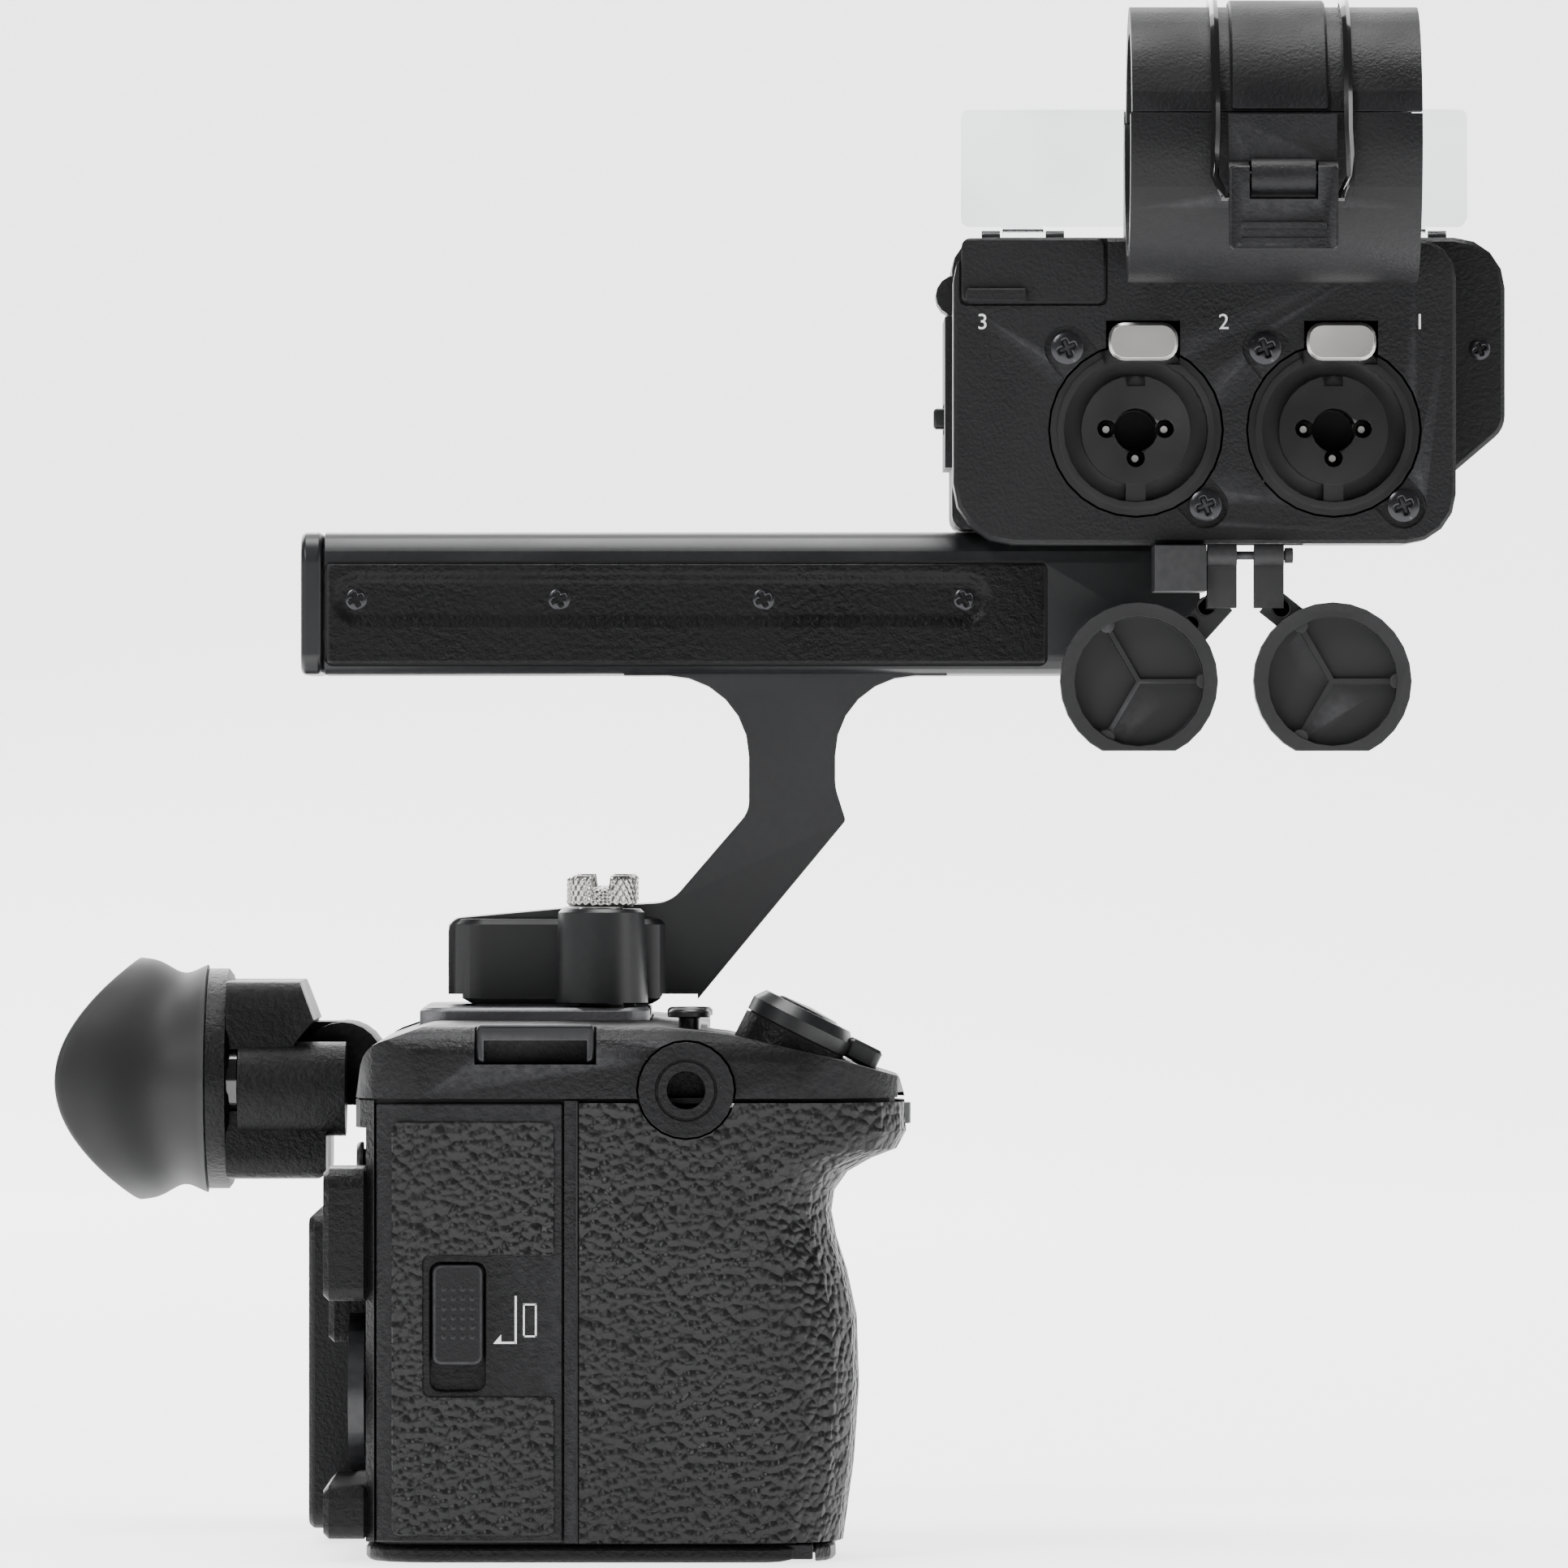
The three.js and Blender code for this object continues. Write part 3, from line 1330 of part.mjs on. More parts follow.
// The space that the audio unit takes up, grown by the clearance.
function unitSpace() {
  return join(
    slab(unitOutline(-GAP), "Y", UNIT.plate - GAP, DIVIDE + GAP),
    slab(rearOutline(-GAP), "Y", DIVIDE - 0.5 - GAP, UNIT.left + GAP),
  );
}

function micHolderBase() {
  const h = HOLDER;
  const tube = holderRod(h.r);
  const saddle = block(h.back, h.front - 0.6, h.y, CLAMP_HINGE.y + 3, 180, h.split - 2.6);
  const below = block(0, 200, -100, 60, 100, h.split - GAP / 2);
  const latchBlock = block(LEVER.back, LEVER.front, LEVER.y + 1.6, h.y - 15, 188.6, h.split - GAP);
  const l = LEVER;
  const knuckle = join(
    rod("X", [0, l.y, l.z], 2.6, l.back + 3.1, l.front - 3.1, 20),
    block(l.back + 3.1, l.front - 3.1, l.y, h.y - 14, l.z - 2.6, l.z + 2.6),
  );
  const pinHole = rod("X", [0, l.y, l.z], 1.2, 60, 130, 12);
  const armRoom = [
    [l.back - 1, l.back + 3.1],
    [l.front - 3.1, l.front + 1],
  ].map(([from, to]) => rod("X", [0, l.y, l.z], 2.8, from, to, 20));
  const hingeEars = [
    [h.back, h.back + 8],
    [h.front - 8.6, h.front - 0.6],
  ].map(([from, to]) =>
    join(
      rod("X", [0, CLAMP_HINGE.y, CLAMP_HINGE.z], CLAMP_HINGE.r, from, to, 16),
      block(from, to, CLAMP_HINGE.y - 2, CLAMP_HINGE.y + 2, 190, CLAMP_HINGE.z),
    ),
  );
  const hingePin = rod("X", [0, CLAMP_HINGE.y, CLAMP_HINGE.z], 0.9, h.back + 1, h.front - 2, 12);
  const lower = cut(join(tube, saddle, latchBlock).intersect(below), holderRod(h.bore, 0, 200), ...armRoom);
  const hingeCentre = [0, CLAMP_HINGE.y, CLAMP_HINGE.z];
  const hingeRoom = rod("X", hingeCentre, CLAMP_HINGE.r + 0.4, h.back + 7.9, h.front - 8.5, 20);
  const ready = cut(join(lower, knuckle), hingeRoom);
  const bore = holderRod(h.bore, 0, 200);
  return cut(join(ready, ...hingeEars, hingePin), pinHole, unitSpace(), bore);
}

function micHolderClamp() {
  const h = HOLDER;
  const above = block(0, 200, -100, 60, h.split + GAP / 2, 300);
  const degrees = THREE.MathUtils.degToRad;
  const strapArc = new THREE.Shape();
  strapArc.absarc(h.y, h.z, h.r + 0.9, degrees(90 - 9), degrees(90 + 78), false);
  strapArc.absarc(h.y, h.z, h.r - 1, degrees(90 + 78), degrees(90 - 9), true);
  const strap = slab(strapArc, "X", 86.8, 100.3, 0.3, 7);
  const ring = holderRod(h.r, h.back + 0.2, h.front);
  const upper = cut(join(ring, strap).intersect(above), holderRod(h.bore, 0, 200));
  const c = CLAMP_HINGE;
  const hinge = join(
    rod("X", [0, c.y, c.z], c.r, h.back + 8 + GAP, h.front - 8.6 - GAP, 16),
    block(h.back + 8 + GAP, h.front - 8.6 - GAP, c.y - 4, c.y, c.z, c.z + 2),
  );
  const ears = [
    block(h.back - 1, h.back + 8 + GAP, c.y - 2.4, c.y + 5, 190, 204),
    block(h.front - 8.6 - GAP, h.front + 1, c.y - 2.4, c.y + 5, 190, 204),
  ];
  const pinHole = rod("X", [0, c.y, c.z], 1.2, 60, 130, 12);
  return cut(join(cut(upper, ...ears), hinge), pinHole, holderRod(h.bore, 0, 200));
}

function latchLever() {
  const l = LEVER;
  const back = l.y - 0.2;
  const plate = slab(rectangle(l.back, l.front, l.low, l.z + 1.6, 0.8), "Y", back - 2.4, back, 0.3);
  const knuckleRoom = block(l.back + 2.8, l.front - 2.8, -90, -60, l.z - 3.2, 200);
  const arms = [
    [l.back, l.back + 2.7],
    [l.front - 2.7, l.front],
  ].map(([from, to]) => rod("X", [0, l.y, l.z], 2.2, from, to, 16));
  const pin = rod("X", [0, l.y, l.z], 0.9, l.back + 1, l.front - 1, 12);
  const foot = block(l.back, l.front, back - 0.1, l.y + 1, BAIL.pivotZ - 1.6, l.z).intersect(
    join(
      block(l.back, l.back + 2.7, -90, -60, 180, 200),
      block(l.front - 2.7, l.front, -90, -60, 180, 200),
    ),
  );
  const ribs = [184.8, 182.6].map((z) =>
    block(l.back + 1.6, l.front - 1.6, back - 2.9, back - 2, z - 0.4, z + 0.4),
  );
  const bailHole = rod("X", [0, l.y - 0.6, BAIL.pivotZ], BAIL.r + 0.2, 60, 130, 12);
  return cut(join(cut(plate, knuckleRoom), ...arms, foot, pin, ...ribs), bailHole);
}

// The wire bail runs from the lever up both sides, follows the round clamp and crosses behind its top.
function wireBail() {
  const b = BAIL;
  const h = HOLDER;
  const radius = h.r + b.r + 0.35;
  const side = (x) => {
    const points = [[x, LEVER.y - 0.6, b.pivotZ + 1.4]];
    for (let degrees = -86; degrees <= b.endAngle - 8; degrees += 15) {
      const angle = THREE.MathUtils.degToRad(degrees);
      points.push([x, h.y + radius * Math.sin(angle), h.z + radius * Math.cos(angle)]);
    }
    return points;
  };
  const end = THREE.MathUtils.degToRad(b.endAngle);
  const cross = [b.back + 1.6, (b.back + b.front) / 2, b.front - 1.6].map((x) => [
    x,
    h.y + radius * Math.sin(end),
    h.z + radius * Math.cos(end),
  ]);
  const start = [b.back + 1.2, LEVER.y - 0.6, b.pivotZ];
  const finishPoint = [b.front - 1.2, LEVER.y - 0.6, b.pivotZ];
  const points = [start, ...side(b.back), ...cross, ...side(b.front).reverse(), finishPoint];
  const path = new THREE.CatmullRomCurve3(points.map((p) => new THREE.Vector3(...p)), false, "centripetal");
  const section = new THREE.Shape().absarc(0, 0, b.r, 0, 2 * Math.PI, false);
  const wire = new THREE.ExtrudeGeometry(section, { steps: 34, curveSegments: 3, extrudePath: path });
  const tails = join(
    rod("X", [0, LEVER.y - 0.6, b.pivotZ], b.r - 0.1, b.back + 0.6, b.back + 3.4, 10),
    rod("X", [0, LEVER.y - 0.6, b.pivotZ], b.r - 0.1, b.front - 3.4, b.front - 0.6, 10),
  );
  return join(solid(wire), tails);
}

// ---------------------------------------------------------------------------------------------------------
// Assembly
// ---------------------------------------------------------------------------------------------------------

const rig = new THREE.Group();
rig.add(
  part("base_plate", basePlate(), PAINT),
  part("tripod_socket", tripodSocket(), STEEL),
  part("body_shell", bodyShell(), PAINT),
  part("top_cover", topCover(), PAINT),
  part("grip_cover", gripCover(), LEATHER),
  part("thread_boss", threadBoss(), PAINT),
  part("strap_lug_right", strapLug(-1), BLACK),
  part("strap_lug_left", strapLug(1), BLACK),
  part("accessory_shoe", accessoryShoe(), GREY_METAL),
  part("card_door", cardDoor(), LEATHER),
  part("card_door_latch", cardDoorLatch(), BLACK),
  part("battery_door", batteryDoor(), BLACK),
  part("battery_latch", batteryLatch(), BLACK),
  part("lens_mount_ring", lensMountRing(), STEEL),
  part("lens_release_button", lensReleaseButton(), STEEL),
  part("sensor_frame", sensorFrame(), BLACK),
  part("image_sensor", imageSensor(), CHIP),
  part("main_board", mainBoard(), BOARD),
  part("battery", battery(), BLACK),
  part("front_dial", frontDial(), BLACK),
  part("control_wheel", controlWheel(), BLACK),
  part("rear_button", rearButton(), BLACK),
  part("zoom_lever", zoomLever(), BLACK),
  part("shutter_button", shutterButton(), STEEL),
);
PORTS.forEach((p) => rig.add(part(p.name, portCover(p), RUBBER)));
TOP_BUTTONS.forEach((b) => rig.add(part(b.name, topButton(b), BLACK)));
rig.add(
  part("monitor_case", monitorCase(), BLACK),
  part("monitor_screen", monitorScreen(), GLASS),
  part("monitor_arm", monitorArm(), BLACK),
  part("evf_base", evfBase(), PAINT),
  part("evf_housing", evfHousing(), PAINT),
  part("diopter_dial", diopterDial(), GLOSS),
  part("ocular_lens", ocularLens(), GLASS),
  part("eyecup", eyecup(), RUBBER),
  part("handle_shell", handleShell(), SATIN),
  part("handle_panel", handlePanel(), SATIN),
  part("handle_end_cap", handleEndCap(), SATIN),
  part("thumbscrew_right", thumbscrew(-1), NICKEL),
  part("thumbscrew_left", thumbscrew(1), NICKEL),
  part("audio_case", audioCase(), BLACK),
  part("jack_plate", jackPlate(), BLACK),
  part("audio_switch", audioSwitch(), BLACK),
);
JACKS.forEach((x, i) => {
  rig.add(part(`audio_jack_${i + 1}`, audioJack(x), GLOSS));
  rig.add(part(`push_tab_${i + 1}`, pushTab(x), NICKEL));
});
CAPS.forEach((cap) => rig.add(part(cap.name, jackCap(cap), RUBBER)));
AUDIO_DIALS.forEach((d) => rig.add(part(d.name, audioDial(d), BLACK)));
rig.add(
  part("input_flap", inputFlap(), RUBBER),
  part("cap_hinge", capHinge(), BLACK),
  part("control_panel", join(controlPanel(), ...coverLugs()), BLACK),
  part("clear_cover", clearCover(), CLEAR),
  part("mic_holder_base", micHolderBase(), BLACK),
  part("mic_holder_clamp", micHolderClamp(), BLACK),
  part("latch_lever", latchLever(), BLACK),
  part("wire_bail", wireBail(), GLOSS),
);

export default rig;
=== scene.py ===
# %% [markdown]
# # A cinema camera with its top handle, audio unit and viewfinder
# The real object is a small modular film camera: a cast body with a hand grip, a folding
# monitor, a tilting viewfinder with a rubber eyecup, a tubular handle held by thumbscrews
# and, on the handle's end, an audio unit with two jacks, their hanging caps and a
# microphone holder. The engineering model gives every place and size, so it is loaded
# first and nothing here is measured twice. Lengths are in metres.

# %% Load the engineering frame
import json
import math

import bmesh
import bpy
import numpy as np
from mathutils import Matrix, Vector


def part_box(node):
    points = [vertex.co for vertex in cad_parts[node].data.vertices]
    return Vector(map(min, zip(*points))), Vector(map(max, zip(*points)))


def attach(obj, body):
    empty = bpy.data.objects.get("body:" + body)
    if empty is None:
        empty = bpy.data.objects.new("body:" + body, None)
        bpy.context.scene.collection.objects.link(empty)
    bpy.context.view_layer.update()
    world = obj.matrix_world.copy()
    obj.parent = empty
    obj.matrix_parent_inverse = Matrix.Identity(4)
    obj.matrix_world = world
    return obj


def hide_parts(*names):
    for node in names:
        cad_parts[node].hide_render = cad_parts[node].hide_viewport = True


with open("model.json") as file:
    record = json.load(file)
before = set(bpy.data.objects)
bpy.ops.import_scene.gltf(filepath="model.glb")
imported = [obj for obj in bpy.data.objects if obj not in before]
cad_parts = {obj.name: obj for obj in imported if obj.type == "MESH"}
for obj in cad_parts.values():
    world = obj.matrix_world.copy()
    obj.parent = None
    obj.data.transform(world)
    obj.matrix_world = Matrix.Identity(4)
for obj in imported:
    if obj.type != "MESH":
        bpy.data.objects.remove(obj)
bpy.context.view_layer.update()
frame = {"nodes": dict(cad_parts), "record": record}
NODES = frame["nodes"]
MM = 0.001


def box_mm(node):
    """The lowest and highest corners of a part at rest, in millimetres."""
    return [np.array(corner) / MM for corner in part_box(node)]


# %% [markdown]
# ## Patterns that several finishes share
# Paint, rubber and moulded plastic all owe their look to small relief, so the relief is
# built once as shader node groups: a fine grain, a pebbled hide and a painted highlight on
# the edges. A group could hold the whole shader, but then a game engine could not read it,
# so each group gives out only a height or a mask.

# %% A helper that opens a node group with named sockets
def new_group(name, inputs, outputs):
    """A shader node group of plain numbers; its inputs are (name, default) pairs."""
    tree = bpy.data.node_groups.new(name, "ShaderNodeTree")
    for label, value in inputs:
        socket = tree.interface.new_socket(label, in_out="INPUT", socket_type="NodeSocketFloat")
        socket.default_value = value
    for label in outputs:
        tree.interface.new_socket(label, in_out="OUTPUT", socket_type="NodeSocketFloat")
    return tree, tree.nodes.new("NodeGroupInput"), tree.nodes.new("NodeGroupOutput")


def add(tree, kind, **values):
    """A node of that kind with some of its own settings or input sockets filled in."""
    node = tree.nodes.new("ShaderNode" + kind)
    for key, value in values.items():
        if key in node.inputs:
            node.inputs[key].default_value = value
        else:
            setattr(node, key, value)
    return node


def math_node(tree, operation, first, second, clamp=False):
    """A Math node fed by sockets or by plain numbers."""
    node = add(tree, "Math", operation=operation, use_clamp=clamp)
    for slot, value in zip(node.inputs, (first, second)):
        if isinstance(value, (int, float)):
            slot.default_value = value
        else:
            tree.links.new(value, slot)
    return node.outputs[0]


# %% The grain of wrinkle paint and of moulded plastic
def grain_group():
    """Two layers of noise: small sharp bumps and a slow cloud that varies the gloss."""
    tree, come, go = new_group("Fine grain", [("Scale", 1800.0), ("Cloud", 60.0)],
                               ["Height", "Cloud"])
    place = add(tree, "TexCoord").outputs["Object"]
    bumps = add(tree, "TexNoise", Detail=3.0, Roughness=0.62)
    cloud = add(tree, "TexNoise", Detail=2.0)
    for node, label in ((bumps, "Scale"), (cloud, "Cloud")):
        tree.links.new(place, node.inputs["Vector"])
        tree.links.new(come.outputs[label], node.inputs["Scale"])
    tree.links.new(bumps.outputs["Fac"], go.inputs["Height"])
    tree.links.new(cloud.outputs["Fac"], go.inputs["Cloud"])
    return tree


# %% The cells of leatherette
def pebble_group():
    """Rounded cells: one minus a power of the smooth cell distance, at places that noise
    has shifted."""
    tree, come, go = new_group("Pebbled hide", [("Scale", 820.0), ("Warp", 0.0010)],
                               ["Height"])
    place = add(tree, "TexCoord").outputs["Object"]
    stir = add(tree, "TexNoise", Scale=420.0, Detail=2.0)
    tree.links.new(place, stir.inputs["Vector"])
    shift = add(tree, "VectorMath", operation="MULTIPLY_ADD")
    tree.links.new(stir.outputs["Color"], shift.inputs[0])
    tree.links.new(come.outputs["Warp"], shift.inputs[1])
    tree.links.new(place, shift.inputs[2])
    cells = add(tree, "TexVoronoi", feature="SMOOTH_F1", Smoothness=0.35)
    tree.links.new(shift.outputs[0], cells.inputs["Vector"])
    tree.links.new(come.outputs["Scale"], cells.inputs["Scale"])
    dome = math_node(tree, "POWER", cells.outputs["Distance"], 1.6)
    height = math_node(tree, "SUBTRACT", 1.0, dome, clamp=True)
    tree.links.new(height, go.inputs["Height"])
    return tree


# %% A painted highlight that brightens the corners
def edge_highlight_group():
    """The mesh's convexity, stretched about its middle and broken up by noise; it masks a
    painted highlight on the edges.
    """
    tree, come, go = new_group("Painted edge highlight", [("Strength", 0.5)], ["Mask"])
    sharp = add(tree, "NewGeometry").outputs["Pointiness"]
    place = add(tree, "TexCoord").outputs["Object"]
    broken = add(tree, "TexNoise", Scale=900.0, Detail=3.0)
    tree.links.new(place, broken.inputs["Vector"])
    raised = math_node(tree, "SUBTRACT", sharp, 0.53)
    steep = math_node(tree, "MULTIPLY", raised, 9.0, clamp=True)
    patchy = math_node(tree, "MULTIPLY", steep, broken.outputs["Fac"])
    mask = math_node(tree, "MULTIPLY", patchy, come.outputs["Strength"], clamp=True)
    tree.links.new(mask, go.inputs["Mask"])
    return tree


GRAIN, PEBBLE, EDGE_HIGHLIGHT = grain_group(), pebble_group(), edge_highlight_group()
print("pattern groups", GRAIN.name, PEBBLE.name, EDGE_HIGHLIGHT.name)


# %% [markdown]
# ## The finishes
# Almost everything on this object is black, so what tells one piece from the next is the
# gloss and the grain: dull rubber, satin paint, wrinkled paint, polished plastic. Each
# finish below is one line of numbers for the same small recipe. A constant such as the
# coat or the index of refraction sits on the shader's own socket.

# %% The recipe for a finish
def finish(name, colour, rough, grain=1800.0, bump=0.15, depth=0.00006, edge=0.0,
           cloud=0.10, hide=False, metallic=0.0, edge_colour=(0.16, 0.16, 0.17)):
    """A Principled material: noise varies the roughness, relief goes to Bump, and a painted
    highlight on the convex edges goes to colour.
    """
    material = bpy.data.materials.new(name)
    material.use_nodes = True
    tree = material.node_tree
    shader = tree.nodes["Principled BSDF"]
    shader.inputs["Metallic"].default_value = metallic
    texture = add(tree, "Group", node_tree=GRAIN)
    texture.inputs["Scale"].default_value = grain
    height = texture.outputs["Height"]
    if hide:
        skin = add(tree, "Group", node_tree=PEBBLE)
        height = skin.outputs["Height"]
    # Painted highlight: the convex edges are mixed towards the lighter edge colour.
    painted_highlight = add(tree, "Group", node_tree=EDGE_HIGHLIGHT)
    painted_highlight.inputs["Strength"].default_value = edge
    mix = add(tree, "Mix", data_type="RGBA")
    mix.inputs[6].default_value = (*colour, 1.0)
    mix.inputs[7].default_value = (*edge_colour, 1.0)
    tree.links.new(painted_highlight.outputs["Mask"], mix.inputs[0])
    shade = add(tree, "Mix", data_type="RGBA", blend_type="MULTIPLY")
    shade.inputs[0].default_value = 1.0
    tree.links.new(mix.outputs[2], shade.inputs[6])
    # For the pebbled hide the colour follows the cells' height: painted shade in the valleys
    # between the cells and a lighter tone on their tops. The other finishes take the slow cloud,
    # a tone that varies at random.
    tone = add(tree, "MapRange")
    tone.inputs["To Min"].default_value = 0.72
    tone.inputs["To Max"].default_value = 1.22
    tree.links.new(skin.outputs["Height"] if hide else texture.outputs["Cloud"],
                   tone.inputs["Value"])
    tree.links.new(tone.outputs[0], shade.inputs[7])
    tree.links.new(shade.outputs[2], shader.inputs["Base Color"])
    spread = add(tree, "MapRange")
    spread.inputs["From Min"].default_value = 0.3
    spread.inputs["From Max"].default_value = 0.7
    spread.inputs["To Min"].default_value = max(0.02, rough - cloud)
    spread.inputs["To Max"].default_value = rough + cloud
    tree.links.new(texture.outputs["Cloud"], spread.inputs["Value"])
    tree.links.new(spread.outputs[0], shader.inputs["Roughness"])
    relief = add(tree, "Bump", Strength=bump, Distance=depth)
    tree.links.new(height, relief.inputs["Height"])
    tree.links.new(relief.outputs["Normal"], shader.inputs["Normal"])
    return material


def socket(material, **values):
    """Sets constants on the shader itself, such as Coat_Weight=0.4."""
    shader = material.node_tree.nodes["Principled BSDF"]
    for key, value in values.items():
        shader.inputs[key.replace("_", " ")].default_value = value
    return material


# %% Paints, plastics, rubber and metals
# name, colour, roughness, grain scale, bump, depth in metres, painted edge highlight, gloss
# spread
FINISH = {
    "wrinkle_paint": finish("wrinkle_paint", (0.0036, 0.0036, 0.0040), 0.40, 1300, 0.85,
                            0.00022, 0.30),
    "satin_paint": finish("satin_paint", (0.0056, 0.0058, 0.0068), 0.36, 2600, 0.22,
                          0.00004, 0.22, 0.05),
    "leatherette": finish("leatherette", (0.0072, 0.0072, 0.0077), 0.42, 1500, 1.0,
                          0.00075, 0.0, 0.06, hide=True),
    "moulded_plastic": finish("moulded_plastic", (0.0060, 0.0060, 0.0067), 0.44, 1900, 0.70,
                              0.00016, 0.22),
    "smooth_plastic": finish("smooth_plastic", (0.0100, 0.0100, 0.0110), 0.33, 1200, 0.12,
                             0.00003, 0.3, 0.07),
    "gloss_plastic": finish("gloss_plastic", (0.0045, 0.0045, 0.0050), 0.14, 700, 0.03,
                            0.00001, 0.0, 0.04),
    "jack_plastic": finish("jack_plastic", (0.0050, 0.0050, 0.0054), 0.24, 1500, 0.05,
                           0.00001, 0.0, 0.05),
    "soft_rubber": finish("soft_rubber", (0.0100, 0.0100, 0.0105), 0.62, 1400, 0.22,
                          0.00005, 0.2, 0.08),
    "cap_rubber": finish("cap_rubber", (0.0115, 0.0115, 0.0120), 0.48, 900, 0.12,
                         0.00004, 0.3, 0.08),
    "blasted_grey": finish("blasted_grey", (0.15, 0.15, 0.16), 0.50, 1500, 0.8,
                           0.00008, 0.3, 0.06, metallic=0.9,
                           edge_colour=(0.55, 0.55, 0.56)),
    "bright_nickel": finish("bright_nickel", (0.42, 0.415, 0.40), 0.30, 1500, 0.15,
                            0.00003, 0.15, 0.06, metallic=1.0,
                            edge_colour=(0.85, 0.84, 0.82)),
    "black_screw": finish("black_screw", (0.0260, 0.0260, 0.0290), 0.26, 1600, 0.2,
                          0.00004, 0.5, 0.06, metallic=0.7),
    "seam_shadow": finish("seam_shadow", (0.0010, 0.0010, 0.0011), 0.85, 900, 0.05,
                          0.00001),
    "white_ink": finish("white_ink", (0.62, 0.62, 0.62), 0.55, 1500, 0.1, 0.00002),
    "green_board": finish("green_board", (0.01, 0.07, 0.03), 0.4, 400, 0.1, 0.00004),
    "sensor_glass": finish("sensor_glass", (0.03, 0.035, 0.06), 0.08, 500, 0.05, 0.00002,
                           0.0, 0.03),
}
for label, level in (("wrinkle_paint", 0.14), ("satin_paint", 0.30), ("leatherette", 0.22),
                     ("moulded_plastic", 0.18), ("smooth_plastic", 0.34),
                     ("soft_rubber", 0.34), ("cap_rubber", 0.22)):
    socket(FINISH[label], Specular_IOR_Level=level)
socket(FINISH["gloss_plastic"], Coat_Weight=0.5, Coat_Roughness=0.05)
socket(FINISH["sensor_glass"], Coat_Weight=0.8, Coat_Roughness=0.03)
socket(FINISH["satin_paint"], Coat_Weight=0.12, Coat_Roughness=0.35)
socket(FINISH["soft_rubber"], Sheen_Weight=0.12, Sheen_Roughness=0.5)
print("finishes", sorted(FINISH))


# %% Clear acrylic and the dark glass of the screen and eyepiece
def clear(name, colour, rough, through, ior):
    """Glass or acrylic: plain transmission, with fine dust only in the roughness."""
    material = finish(name, colour, rough, 700, 0.03, 0.00001, 0.0, 0.015)
    return socket(material, Transmission_Weight=through, IOR=ior)


FINISH["clear_acrylic"] = clear("clear_acrylic", (0.80, 0.82, 0.83), 0.06, 1.0, 1.49)
FINISH["dark_glass"] = clear("dark_glass", (0.012, 0.013, 0.017), 0.05, 0.0, 1.55)
print("clear finishes added")


# %% [markdown]
# ## Give every engineering part its finish
# The engineering model is made of loose triangles with knife edges. A real moulding has
# small rounded edges that catch the light, so each part that shows is copied, its
# triangles are welded and its flat faces cleaned, a narrow bevel is added, and the copy
# stands in for the original. Modelling every part again would risk moving it.

# %% Weld, clean and round a copy of a part
BODIES = frame["record"]["behaviour"]["bodies"]
BODY_OF = {node: body for body, nodes in BODIES.items() for node in nodes}
# One face can't hold holes, so the flats of these parts stay triangles.
MANY_HOLES = ("jack_plate", "audio_jack_1", "audio_jack_2")


def welded(node):
    """A copy of a part's mesh with its doubles merged and its flat faces dissolved."""
    work = bmesh.new()
    work.from_mesh(NODES[node].data)
    bmesh.ops.remove_doubles(work, verts=work.verts, dist=0.002 * MM)
    if node not in MANY_HOLES:
        bmesh.ops.dissolve_limit(work, angle_limit=math.radians(0.6), verts=work.verts,
                                 edges=work.edges)
    bmesh.ops.recalc_face_normals(work, faces=work.faces)
    mesh = bpy.data.meshes.new(node + "_form")
    work.to_mesh(mesh)
    work.free()
    return mesh


def show(name, mesh, body, *materials):
    """Puts a mesh in the scene, rides it on its body and gives it its finishes."""
    piece = bpy.data.objects.new(name, mesh)
    bpy.context.scene.collection.objects.link(piece)
    for material in materials:
        mesh.materials.append(FINISH[material])
    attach(piece, body)
    return piece


def smooth_by_angle(mesh, degrees=38.0):
    """Smooth shading that breaks at corners sharper than the angle."""
    mesh.polygons.foreach_set("use_smooth", np.ones(len(mesh.polygons), bool))
    mesh.set_sharp_from_angle(angle=math.radians(degrees))


def round_edges(piece, width, angle=38.0):
    """A Bevel modifier on the sharp edges, with normals kept flat on the faces."""
    bevel = piece.modifiers.new("round edges", "BEVEL")
    bevel.width, bevel.segments = width * MM, 2
    bevel.limit_method, bevel.angle_limit = "ANGLE", math.radians(angle)
    bevel.harden_normals = True
    bevel.use_clamp_overlap = True
    return bevel


def dressed(node, material, width=0.0):
    """The part's welded copy in its finish, standing in for the part itself. Normals are
    weighted by face area, so that large flats stay flat beside small chamfers."""
    mesh = welded(node)
    mesh.materials.clear()
    smooth_by_angle(mesh)
    piece = show(node + "_look", mesh, BODY_OF[node], material)
    if width:
        round_edges(piece, width)
    flats = piece.modifiers.new("true flats", "WEIGHTED_NORMAL")
    flats.keep_sharp, flats.weight = True, 100
    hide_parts(node)
    return piece


